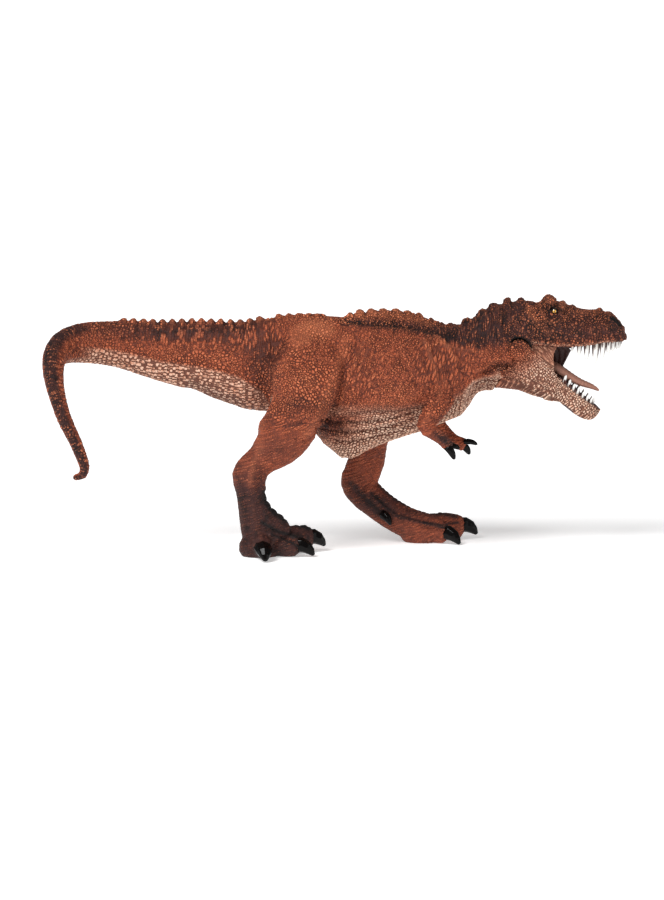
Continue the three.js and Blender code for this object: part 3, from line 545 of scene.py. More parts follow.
def skin_form(names, grain, sizes, name):
    """One smooth closed skin over several solids, each face marked with its solid's number."""
    copies = []
    for number, node in enumerate(names):
        piece = merged_copy(node)
        count = len(piece.data.polygons)
        set_values(piece.data, "solid_number", np.full(count, number, np.int32), "INT", "FACE")
        copies.append(piece)
    source = joined(copies, name + "_source")
    skin = link(name, source.data.copy())
    apply_modifier(skin, "DISPLACE", strength=sizes.cover, mid_level=0)
    apply_modifier(skin, "REMESH", mode="VOXEL", voxel_size=grain)
    skin = biggest_island(skin)
    apply_modifier(skin, "SMOOTH", factor=0.5, iterations=sizes.rounding)

    def mark_solids(nodes, geometry):
        info = nodes.node("GeometryNodeObjectInfo", None, {"Object": source}, "Geometry")
        number = nodes.attribute("solid_number", "INT")
        inputs = {"Mesh": info, "Value": number}
        nearest = nodes.node("GeometryNodeSampleNearestSurface", {"data_type": "INT"}, inputs)
        return stored(nodes, geometry, "solid_number", nearest, "INT", "FACE")

    apply_modifier(skin, "NODES", node_group=geometry_group("mark_solids", mark_solids))
    bpy.data.objects.remove(source)
    return skin


def deepened(skin, cover):
    """Takes off again what the joints' cover added."""
    points = points_of(skin.data)
    set_points(skin.data, points - cover * normals_of(skin.data))


def rise(value, start, end):
    """Rises smoothly from 0 at start to 1 at end, which may be the smaller."""
    share = np.clip((value - start) / (end - start), 0, 1)
    return share * share * (3 - 2 * share)


def seen(points, mirrored):
    """Column and row of each point in the side view. Mirrored points are seen as if on the near side."""
    near = -np.abs(points[:, 1]) if mirrored else points[:, 1]
    column = MIDDLE_COLUMN + points[:, 0] / PIXEL
    row = FLOOR_ROW - (points[:, 2] * math.cos(TILT) + near * math.sin(TILT)) / PIXEL
    return column, row


def line_row(column, line):
    """Height of a drawn line at each column."""
    columns, rows = zip(*line)
    return np.interp(column, columns, rows)


def path_distance(column, row, path):
    """Each point's distance from a drawn path, and how far along the path that is, in pixels."""
    nearest = np.full(len(column), np.inf)
    along = np.zeros(len(column))
    passed = 0
    for (x, y), (next_x, next_y) in zip(path, path[1:]):
        dx, dy = next_x - x, next_y - y
        length = math.hypot(dx, dy)
        share = np.clip(((column - x) * dx + (row - y) * dy) / length**2, 0, 1)
        distance = np.hypot(column - x - share * dx, row - y - share * dy)
        closer = distance < nearest
        nearest[closer] = distance[closer]
        along[closer] = passed + share[closer] * length
        passed += length
    return nearest, along


def drawn_forms(column, row, forms):
    """Sum of drawn ridges and creases, in metres: each has a path, a width in pixels and a height in mm."""
    total = np.zeros(len(column))
    for path, width, height in forms:
        xs, ys = zip(*path)
        reach = 3 * width
        near = (column > min(xs) - reach) & (column < max(xs) + reach)
        near &= (row > min(ys) - reach) & (row < max(ys) + reach)
        distance, _ = path_distance(column[near], row[near], path)
        total[near] += height * MM * np.exp(-((distance / width) ** 2))
    return total


def drawn_patches(column, row, patches):
    """Sum of soft round patches: middle, half width, half height in pixels, and amount."""
    total = np.zeros(len(column))
    for x, y, half_width, half_height, amount in patches:
        total += amount * np.exp(-(((column - x) / half_width) ** 2) - ((row - y) / half_height) ** 2)
    return total


def drawn_beads(column, row, path, width, pitch, height):
    """A row of bumps along a drawn path, in metres."""
    distance, along = path_distance(column, row, path)
    plates = np.abs(np.cos(np.pi * along / pitch)) ** 0.6
    return height * MM * plates * np.exp(-((distance / width) ** 2))


# Ridges and creases of trunk and tail, drawn over the side view: path, width and height
TRUNK_FORMS = [
    ([(316, 434), (326, 422), (334, 406)], 2.4, -0.85),
    ([(335, 402), (342, 378), (350, 359), (357, 343)], 2.2, -0.5),
    ([(306, 436), (321, 412), (332, 382), (341, 357), (346, 340)], 6, 0.8),
    ([(336, 418), (347, 382), (356, 360), (364, 342)], 2.2, 0.55),
    ([(350, 400), (358, 372), (370, 346)], 1.8, 0.4),
    ([(262, 394), (266, 374), (272, 358), (282, 346)], 8, -1.3),
    ([(258, 318), (266, 317), (274, 316)], 5, 0.5),
    ([(250, 372), (258, 355), (270, 340)], 6, -0.7),
    ([(296, 336), (312, 329), (328, 331)], 10, 0.9),
    ([(280, 372), (290, 352), (304, 342)], 6, 0.6),
    ([(343, 321), (360, 323), (400, 326), (432, 331), (452, 335)], 2.4, -1.2),
    ([(346, 318), (372, 316), (400, 317), (430, 323)], 3, 0.5),
    ([(352, 415), (364, 413), (395, 412), (424, 407), (438, 397)], 2.2, -0.8),
    ([(366, 404), (392, 402), (415, 397)], 6, 0.5),
    ([(322, 421), (340, 423), (365, 423), (392, 419), (414, 413)], 1.4, -1.1),
    ([(330, 427), (350, 428), (372, 427), (395, 422), (414, 416)], 1.6, 0.5),
    ([(322, 430), (345, 433), (370, 431), (395, 425), (414, 418)], 1.4, -1.1),
    ([(330, 436), (350, 438), (374, 434), (396, 428), (412, 422)], 1.6, 0.5),
    ([(335, 441), (350, 443), (372, 438), (395, 432), (414, 424)], 1.4, -1.1),
    ([(352, 449), (374, 443), (398, 436), (414, 428)], 1.6, 0.4),
    ([(322, 420), (338, 428), (352, 440), (357, 452)], 1.5, -0.6),
    ([(328, 412), (345, 419), (358, 426)], 1.5, -0.5),
    ([(316, 428), (332, 438), (347, 452)], 1.5, -0.5),
    ([(372, 396), (380, 372), (396, 348)], 2.4, -0.3),
    ([(384, 400), (392, 374), (404, 352)], 2.4, -0.3),
    ([(428, 397), (412, 381), (399, 362)], 2.2, -0.5),
    ([(431, 392), (418, 370), (410, 350)], 2.2, -0.5),
    ([(435, 390), (427, 366), (422, 346)], 2.2, -0.5),
    ([(442, 388), (438, 366), (432, 348)], 1.7, -0.5),
    ([(424, 343), (433, 362), (441, 381), (438, 399)], 5, 0.7),
    ([(434, 336), (442, 341), (450, 351), (457, 364)], 2.6, 0.7),
    ([(440, 343), (458, 349), (476, 352), (492, 352)], 2, 0.5),
    ([(448, 372), (452, 388), (450, 402)], 2.4, -0.6),
    ([(458, 362), (463, 374), (462, 388)], 2.4, -0.5),
    ([(120, 338), (170, 339), (220, 341), (256, 348)], 3, -0.5),
    ([(324, 444), (333, 449), (342, 454)], 5, 1.8),
    ([(192, 389), (216, 399), (234, 406)], 8, -1.2),
    ([(424, 316), (436, 320), (448, 324)], 4, -1.1),
    ([(455, 324), (465, 320), (475, 316)], 4, 0.7),
]

# How far the front of the lip is drawn down
LIP_LIFT = -1.6 * MM

# How far the top of the cheek skin's front edge is drawn forward
WEB_DRAW = 1.7 * MM

# Ridges and creases of neck and skull
HEAD_FORMS = [
    ([(465, 322), (469, 332), (470, 344)], 2.4, -0.5),
    ([(477, 312), (480, 323), (478, 334), (484, 346)], 2.2, -0.6),
    ([(489, 307), (493, 318), (491, 331), (497, 341)], 2.2, -0.65),
    ([(483, 309), (487, 318)], 2.4, 0.5),
    ([(501, 303), (505, 314), (502, 326), (506, 337)], 2.0, -0.65),
    ([(496, 303), (498, 311)], 2.6, 0.5),
    ([(513, 302), (512, 312), (514, 322)], 2.0, -0.6),
    ([(508, 299), (509, 304)], 2.6, 0.4),
    ([(474, 326), (478, 329)], 2.2, 0.4),
    ([(487, 327), (489, 332)], 2.2, 0.45),
    ([(499, 322), (500, 328)], 2.0, 0.4),
    ([(509, 316), (510, 323)], 2.4, 0.45),
    ([(517, 326), (522, 331)], 2.4, 0.5),
    ([(524, 302), (522, 312), (519, 322)], 2.2, -0.5),
    ([(528, 306), (534, 311)], 2.4, 0.4),
    ([(473, 371), (483, 369), (491, 363), (500, 359), (507, 360), (514, 366)], 2, 0.8),
    ([(484, 374), (496, 368), (506, 367), (513, 372)], 3.6, -1.3),
    ([(459, 413), (464, 403), (466, 391), (471, 383), (481, 377), (497, 375), (508, 377)], 1.8, 0.8),
    ([(476, 384), (487, 380), (503, 380), (520, 386)], 1.5, -0.7),
    ([(480, 388), (492, 385), (506, 386)], 1.4, -0.6),
    ([(470, 395), (478, 387)], 1.4, -0.5),
    ([(547, 300), (556, 301), (563, 308)], 2.6, 0.6),
    ([(536, 303), (540, 299), (542, 295)], 2.6, -1.1),
    ([(545, 297), (545.5, 300)], 1.3, -0.45),
    ([(554.5, 296), (554, 300)], 1.1, -0.5),
    ([(560, 299), (559.5, 303)], 1.1, -0.45),
    ([(552, 304), (554, 304)], 1.3, 0.4),
    ([(563, 306), (565, 307)], 1.5, 0.45),
    ([(569, 305), (571, 306)], 1.6, 0.4),
    ([(612, 313), (618, 318), (623, 325)], 4.2, 1.4),
    ([(509, 299), (515, 299)], 2.4, 0.8),
    ([(548, 294), (550, 297)], 1.8, 0.4),
    ([(556, 297), (557, 300)], 1.6, 0.6),
    ([(563, 302), (564, 305)], 1.6, 0.5),
    ([(544, 297), (546, 300)], 1.4, 0.4),
    ([(552, 295), (553, 298)], 1, -0.5),
    ([(549, 310), (553, 307.4), (558, 308.4), (560.5, 311)], 1.5, 1.0),
    ([(549.5, 313.5), (554, 315.6), (559.5, 313.6)], 1.3, 0.7),
    ([(541, 312), (544, 321), (552, 324), (560, 321)], 2, 0.5),
    ([(524, 308), (531, 316), (540, 327), (548, 334)], 4, 0.6),
    ([(565, 316), (580, 322), (594, 324)], 5, -0.5),
    ([(562, 312), (580, 313), (598, 312)], 3.4, 0.6),
    ([(611, 318), (615, 321), (620, 326)], 1.6, -1.2),
    ([(607, 315), (612, 312), (619, 319), (624, 327)], 1.8, 0.5),
    ([(532, 338), (556, 341), (580, 341), (600, 338), (620, 333)], 1.4, -0.35),
    ([(512, 341), (515, 338.5), (522, 339), (528, 343)], 1.6, -0.4),
]
ORBIT = (551.5, 312.5, 8.5, 8)


# Half width of the mouth inside the upper lip and inside the lower jaw: places along X, in millimetres
UPPER_MOUTH = [(96, 13.0), (110, 12.4), (121, 10.6), (134, 9.4), (141, 8), (146, 5.6), (149, 2.6)]
LOWER_MOUTH = [(90, 12.8), (108, 11.6), (114, 9.6), (121, 7.4), (128, 6.4), (134, 4.6), (137, 2)]
LIP_WALL = 0.5 * MM
JAW_WALL = 0.8 * MM

# How far ahead of the hinge the mouth's roof starts, and how far above and below the hinge it lies
ROOF_REAR = 12 * MM
ROOF_TOP = 17 * MM
ROOF_BOTTOM = 4 * MM

# Edge of each lip over the side view, and the pitch of its scales in pixels
UPPER_LIP = [(528, 343), (556, 346.5), (580, 346), (600, 343.5), (627, 338.5)]
LOWER_LIP = [(530, 352), (553, 373), (562, 380), (573, 390), (583, 398), (600, 408)]
UPPER_LIP_PITCH = 3.4
LOWER_LIP_PITCH = 5.2

# The joint between head and jaw: the boss's radius, the throat's slope, and how wide and high it is filled
SEAM_RADIUS = 5.5 * MM
THROAT_ANGLE = 240
SEAM_WIDTH = 1.1 * MM
SEAM_HEIGHT = 0.36

# Black lines of the head, among them painted shadow in the slit over the jaw's boss; the stripe under the
# crest; and black scutes and painted shade in the grooves of feet and hands
HEAD_INK_AND_SHADOW = [
    ([(612, 318), (616, 321), (620, 325)], 1.2, 1.5),
    ([(512, 341), (515, 338.5), (522, 339), (528, 343), (531, 348)], 1.5, 2),
    ([(548, 312), (551, 307.5), (557, 307), (561, 311)], 1.2, 0.9),
]
TRUNK_INK = [
    ([(346, 321), (372, 323), (400, 326), (430, 331), (452, 338)], 2.6, 0.6),
    ([(452, 338), (462, 345), (470, 352)], 2.2, 0.35),
]
LIMB_INK_AND_SHADE = [
    ([(266, 492), (268, 503), (274, 511), (284, 518), (297, 523), (309, 527)], 3.6, 1.6),
    ([(262, 522), (278, 531), (297, 537)], 2.4, 0.9),
    ([(272, 534), (288, 541), (298, 545)], 1.4, 0.9),
    ([(380, 486), (396, 500), (414, 507), (432, 512), (456, 517)], 1.8, 0.9),
    ([(372, 494), (386, 507), (398, 516), (420, 522), (450, 529)], 1.8, 0.9),
    ([(352, 484), (364, 498), (380, 512)], 3, 0.8),
    ([(424, 522), (442, 525), (458, 523)], 1.3, 0.8),
    ([(436, 434), (444, 440), (452, 447)], 4, 0.8),
]

# Folds of the lower jaw and its throat skin
JAW_FORMS = [
    ([(502, 376), (520, 383), (540, 393), (560, 404)], 1.5, -0.7),
    ([(503, 382), (522, 388), (542, 398)], 1.5, -0.7),
    ([(508, 371), (524, 377), (545, 389), (562, 400)], 1.5, -0.45),
    ([(524, 348), (538, 362), (553, 377), (572, 393), (590, 408)], 2, 0.45),
    ([(528, 356), (545, 375), (565, 396)], 2, -0.3),
    ([(530, 345), (538, 352), (547, 360)], 1.3, -0.4),
    ([(538, 345), (545, 352), (551, 360)], 1.3, -0.4),
    ([(547, 347), (550, 353), (553, 360)], 1.3, -0.35),
]

# Ridges and creases of legs and arms, drawn over the side view
LIMB_FORMS = [
    ([(262, 424), (257, 434), (258, 444)], 6, 0.9),
    ([(270, 420), (288, 428), (306, 424)], 4, -0.5),
    ([(262, 448), (254, 462), (250, 484)], 4, 0.6),
    ([(272, 452), (262, 470), (259, 492)], 3, -0.6),
    ([(243, 486), (247, 510), (250, 540)], 3.4, -0.5),
    ([(253, 505), (256, 525), (262, 540)], 3, 0.5),
    ([(272, 530), (290, 541), (300, 546)], 2, -0.8),
    ([(268, 540), (285, 547), (297, 551)], 2, 0.4),
    ([(341, 474), (342, 482), (347, 492)], 4, 0.9),
    ([(362, 455), (356, 472), (352, 486)], 4, 0.5),
    ([(378, 462), (372, 478), (364, 488)], 3, -0.5),
    ([(352, 490), (370, 505), (392, 522), (402, 532)], 3.4, -0.5),
    ([(372, 492), (395, 512), (425, 521), (455, 523)], 2, -0.5),
    ([(420, 526), (440, 530), (455, 531)], 1.8, -0.8),
    ([(432, 404), (428, 416), (422, 424)], 4, 0.5),
    ([(430, 428), (440, 436), (448, 446)], 2, -0.4),
    ([(296, 438), (306, 441), (312, 436)], 2, -0.4),
]
# Rows of scutes on the feet: path, width, pitch and height
SCUTE_ROWS = [
    ([(266, 488), (268, 503), (274, 511), (284, 518), (297, 523), (309, 527)], 3.2, 8.4, 0.8),
    ([(380, 486), (396, 500), (414, 507), (432, 512), (456, 517)], 2.4, 5.2, 0.4),
    ([(262, 522), (278, 531), (297, 537)], 2.4, 7, 0.45),
    ([(396, 514), (416, 521), (446, 528)], 2, 5.6, 0.35),
]

# Where one paint ends and the next begins, drawn over the side view, with patches that add dark paint,
# painted shade, dry brush and painted highlight
PALE_LINE = [
    (70, 346), (100, 348), (120, 351), (140, 356), (160, 361), (180, 364), (200, 367), (220, 371),
    (240, 377), (262, 392), (280, 420), (316, 424), (345, 417), (364, 414), (395, 413), (424, 408),
    (440, 411), (452, 409), (458, 400), (464, 389), (472, 380), (485, 376), (500, 375), (520, 378),
]
DARK_LINE = [
    (70, 338), (130, 337), (200, 337), (245, 336), (262, 326), (282, 317), (332, 317), (346, 325),
    (362, 327), (400, 330), (430, 335), (448, 343), (480, 348), (502, 345), (514, 342), (532, 345),
    (640, 345),
]
DARK_STRENGTH = [
    (90, 0.5), (160, 0.8), (250, 0.8), (300, 0.5), (360, 0.85), (450, 0.95), (565, 1), (595, 0.85),
    (640, 0.85),
]
# Patches that darken the skin: partly dark paint, partly painted shade in the hollow behind the thigh, on
# the belly under the thigh, under the neck's fold and round the jaw's slit
TRUNK_DARK_AND_SHADE = [
    (266, 366, 12, 20, 0.35), (296, 404, 15, 9, 0.5), (330, 428, 20, 15, 0.8), (300, 408, 30, 8, 0.2),
    (505, 368, 10, 5, 0.9), (520, 345, 16, 8, 0.5), (548, 314, 9, 9, 0.3), (616, 322, 5, 6, 0.9),
    (250, 352, 12, 14, 0.25), (436, 398, 8, 6, 0.3), (470, 330, 22, 10, 0.3), (485, 384, 14, 5, 0.35),
]
# Gaps in the pale paint; the largest, under the thigh, is part of the painted shade there
PALE_GAPS = [
    (331, 427, 22, 15, 1.1), (352, 418, 20, 5, 0.4), (404, 416, 12, 8, 0.3), (262, 398, 8, 8, 0.4),
]
# More dry brush, and painted highlight where light falls on the hip's top, the thigh and the flank
TRUNK_BRUSH_AND_HIGHLIGHT = [
    (314, 331, 22, 15, 1.4), (390, 395, 34, 12, 0.45), (304, 386, 24, 14, 0.8), (374, 365, 22, 26, 0.4),
    (536, 313, 10, 10, 0.9), (548, 300, 10, 5, 0.6), (436, 345, 12, 8, 0.5), (466, 356, 24, 12, 0.35),
    (205, 356, 60, 10, 0.25), (390, 315, 50, 6, 0.3), (575, 310, 30, 6, 0.15), (528, 320, 6, 8, 0.5),
]
# Patches of dark paint on legs and arms, partly painted shade on the far leg and foot under the body
LIMB_DARK_AND_SHADE = [
    (255, 520, 22, 24, 1.0), (285, 526, 24, 10, 0.7), (378, 502, 24, 14, 0.7), (430, 514, 30, 5, 0.5),
    (446, 441, 9, 8, 0.6), (238, 490, 10, 22, 0.5), (350, 486, 12, 12, 0.5), (360, 452, 30, 16, 0.35),
    (270, 448, 24, 12, 0.4), (266, 484, 12, 10, 0.5), (248, 474, 16, 24, 0.4),
]
# More dry brush, and painted highlight along the shin, on the arm and on the toes
LIMB_BRUSH_AND_HIGHLIGHT = [
    (252, 470, 10, 16, 0.4), (300, 428, 22, 12, 0.4), (430, 412, 14, 12, 0.9), (285, 541, 14, 4, 0.6),
]
UPRIGHT_PATCHES = [
    (190, 334, 90, 18, 1.0), (360, 365, 26, 44, 0.75), (455, 365, 26, 30, 0.85), (425, 365, 22, 34, 0.7),
    (490, 325, 34, 26, 0.8), (262, 345, 26, 30, 0.75), (596, 334, 26, 9, 0.6), (330, 428, 14, 10, 0.4),
]

# The tail's path, which its solid follows too: reach back, swing to the right, rise and radius
TAIL_PATH_SHARES = [
    (0, 0, 0, 1), (0.14, 0, -0.005, 0.9), (0.32, 0, 0.075, 0.74), (0.51, 0, 0.13, 0.61),
    (0.69, 0, 0.2, 0.5), (0.83, 0.05, 0.225, 0.445), (0.93, 0.22, 0.215, 0.385),
    (0.978, 0.46, 0.17, 0.325), (0.992, 0.68, 0.075, 0.29), (0.985, 0.83, -0.08, 0.25),
    (0.965, 0.93, -0.24, 0.215), (0.935, 0.98, -0.42, 0.19), (0.893, 1, -0.6, 0.168),
    (0.862, 1, -0.76, 0.15), (0.848, 0.98, -0.86, 0.13), (0.857, 0.95, -0.94, 0.11),
    (0.89, 0.93, -0.965, 0.075),
]
TAIL_START = Vector((-33, 0, 95.5)) * MM
TAIL_SIZE = Vector((-112, -41, 54)) * MM
TAIL_RADIUS = 21.5 * MM
TAIL_SAMPLES = 240

# Where on the side view one thing gives way to another, as columns or rows: the thigh's last row, the
# lips' first columns, where paleness ends and starts along the belly, the crest, the feet, the hips,
# the arms, the fine scales and the drawn-down front of the lip
THIGH_END = 440
UPPER_LIP_START = 530
LOWER_LIP_START = 550
JAW_MOUTH_START = 540
PALE_END = 524
PALE_FADE = (-1.5, 3)
UNDERSIDE_START = 262
UNDERSIDE_END = 500
DARK_FADE = (-6, 6)
CREST_ROWS = (332, 318)
CREST_END = 450
CREST_CHANGE = 340
FOOT_ROWS = (482, 512)
HIP_ROWS = (424, 404)
ARM_COLUMNS = (425, 405)
FINE_COLUMNS = (345, 365)
FINE_ROWS = (424, 440)
SMOOTH_ROWS = (412, 446)
LIP_COLUMNS = (602, 624)
LIP_ROWS = (322, 336)
RIDGE_FRONT = (282, 258)
RIDGE_REAR = (112, 135)

# Angles from the upper line, in radians, at which the belly begins, the crest ends, the hanging
# tail's stripe ends and its pale underside begins
BELLY_ANGLES = (2.0, 2.35)
CREST_ANGLES = (0.5, 0.15)
STRIPE_ANGLES = (1.0, 0.45)
UNDER_ANGLES = (2.3, 2.6)

# How the flank's wrinkles lean: middle column, reach in pixels and most lean
LEAN = (375, 90, 0.35)

# Waves of the dark back's edge: height in pixels, pitch and start
EDGE_WAVES = [(2, 0.37, 0), (1.6, 0.83, 1)]

# Row of scales above the upper lip and below the lower one, and the upper lip's pale edge: distance
# from the lip and half height in pixels
UPPER_LIP_SCALES = (-1.6, 2.0)
LOWER_LIP_SCALES = (2.2, 2.2)
UPPER_LIP_EDGE = (-0.6, 1.1)

# How far the tail's skin lies from that path, where along it the tail starts to hang, and where the
# dark stripe turns outward
TAIL_SHIFT = (0.3 * MM, -0.1 * MM, 0)
HANGING_WAY = (92 * MM, 108 * MM)
TURNING_WAY = (100 * MM, 150 * MM)

# Height about which the flank's wrinkles lean, and how far from the middle the head's black lines start
LEAN_HEIGHT = 90 * MM
INK_SIDE = (1.2 * MM, 2.4 * MM)

# The crest's knobs: half width, least height above the floor, and pitch in pixels and height in
# millimetres at columns of the side view
CREST_WIDTH = 1.7 * MM
CREST_FLOOR = 95 * MM
CREST_PITCH = [(100, 9.6), (330, 9.6), (345, 12.4), (450, 12.4)]
CREST_HEIGHT = [
    (105, 0), (125, 0.9), (318, 0.9), (330, 0), (343, 0), (352, 1.6), (440, 1.5), (456, 0),
]

# The tail's upright ridges: their middle row, half height in pixels, and height next to the knobs'
RIDGE_ROW = 326
RIDGE_REACH = 7
RIDGE_SHARE = 0.35

# Rings of skin round the eye: place and half width in eye sockets, and height in millimetres
SOCKET_HOLLOW = (0.85, -1.3)
SOCKET_RIM = (1.15, 0.25, 0.5)
SOCKET_WRINKLES = (3.1, 0.4, 0.22)

# Middle line of trunk, neck and head: place along X, height and radius, in millimetres
BODY_AXIS = [
    (-40, 93, 24), (-20, 91, 30), (10, 90, 33), (40, 91, 31), (62, 92, 27), (80, 100, 22),
    (100, 110, 18), (125, 114, 15), (150, 114, 10),
]


def smooth_line(rows, samples):
    """Points on a smooth line through rows, with as many columns as they have."""
    table = np.array(rows, float)
    place = np.linspace(0, len(table) - 1, samples)
    index = np.minimum(place.astype(int), len(table) - 2)
    share = (place - index)[:, None]
    before, start = table[np.maximum(index - 1, 0)], table[index]
    end, after = table[index + 1], table[np.minimum(index + 2, len(table) - 1)]
    slope = end - before
    bend = 2 * before - 5 * start + 4 * end - after
    twist = 3 * start - before - 3 * end + after
    return (2 * start + slope * share + bend * share**2 + twist * share**3) / 2


def tail_course(points, shift):
    """Way along the tail, angle from its upper line and local radius, for each point."""
    line = smooth_line(TAIL_PATH_SHARES, TAIL_SAMPLES)
    path = np.array(TAIL_START) + np.array(shift) + line[:, :3] * np.array(TAIL_SIZE)
    steps = np.diff(path, axis=0)
    way = np.concatenate([[0], np.cumsum(np.linalg.norm(steps, axis=1))])
    ahead = np.gradient(path, axis=0)
    ahead /= np.linalg.norm(ahead, axis=1)[:, None]
    top = np.array([0.0, 0.0, 1.0])
    tops = []
    for direction in ahead:
        top = top - direction * top.dot(direction)
        top = top / np.linalg.norm(top)
        tops.append(top)
    tops = np.array(tops)
    nearest = np.empty(len(points), int)
    for start in range(0, len(points), 20000):
        part = points[start : start + 20000]
        gaps = ((part[:, None, :] - path[None, :, :]) ** 2).sum(axis=2)
        nearest[start : start + 20000] = gaps.argmin(axis=1)
    offset = points - path[nearest]
    across = np.cross(ahead[nearest], tops[nearest])
    angle = np.arctan2((offset * across).sum(axis=1), (offset * tops[nearest]).sum(axis=1))
    return way[nearest], angle, TAIL_RADIUS * line[nearest, 3]


def body_course(points):
    """Angle from the upper line and local radius of each point of trunk, neck and head."""
    places, heights, radii = (np.array(values) * MM for values in zip(*BODY_AXIS))
    height = np.interp(points[:, 0], places, heights)
    radius = np.interp(points[:, 0], places, radii)
    angle = np.arctan2(points[:, 1], points[:, 2] - height)
    return angle, radius


def between_sides(points, widths, wall):
    """Whether each point lies between the mouth's sides, less a wall."""
    places, halves = (np.array(values) * MM for values in zip(*widths))
    return np.abs(points[:, 1]) < np.interp(points[:, 0], places, halves) - wall


def mouth_roof(points, normals):
    """1 inside the mouth of the head, under the roof and behind the lip."""
    inside = (points[:, 0] > HINGE.x + ROOF_REAR) & (points[:, 2] < HINGE.z + ROOF_TOP)
    inside &= points[:, 2] > HINGE.z - ROOF_BOTTOM
    inside &= between_sides(points, UPPER_MOUTH, LIP_WALL)
    inward = normals[:, 1] * np.sign(points[:, 1]) < -0.2
    facing = (normals[:, 2] < -0.35) | inward | (normals[:, 0] < -0.5)
    return (inside & facing).astype(float)


def hinge_seam(points):
    """1 on the narrow joint round the jaw's boss and down the throat, less its open slit on top."""
    x, z = points[:, 0] - HINGE.x, points[:, 2] - HINGE.z
    reach = np.hypot(x, z)
    angle = np.degrees(np.arctan2(z, x))
    ring = np.exp(-(((reach - SEAM_RADIUS) / SEAM_WIDTH) ** 2))
    slit = rise(angle, 20, 42) * rise(angle, 128, 104)
    slope = math.radians(THROAT_ANGLE)
    along = x * math.cos(slope) + z * math.sin(slope)
    across = z * math.cos(slope) - x * math.sin(slope)
    throat = np.exp(-((across / SEAM_WIDTH) ** 2)) * (along > SEAM_RADIUS)
    return np.maximum(ring * (1 - slit), throat)


def lip_band(below, band):
    """1 on a soft band along a lip, from each point's distance below the lip."""
    middle, reach = band
    return np.exp(-(((below - middle) / reach) ** 2))


def eye_socket(column, row):
    """The hollow, rim and wrinkles round the eye, in millimetres."""
    orbit = np.hypot((column - ORBIT[0]) / ORBIT[2], (row - ORBIT[1]) / ORBIT[3])
    reach, depth = SOCKET_HOLLOW
    socket = np.exp(-((orbit / reach) ** 2)) * depth
    place, width, height = SOCKET_RIM
    socket += np.exp(-(((orbit - place) / width) ** 2)) * height
    rings, width, height = SOCKET_WRINKLES
    return socket + height * np.cos(2 * np.pi * orbit * rings) * np.exp(-(((orbit - 1.0) / width) ** 2))


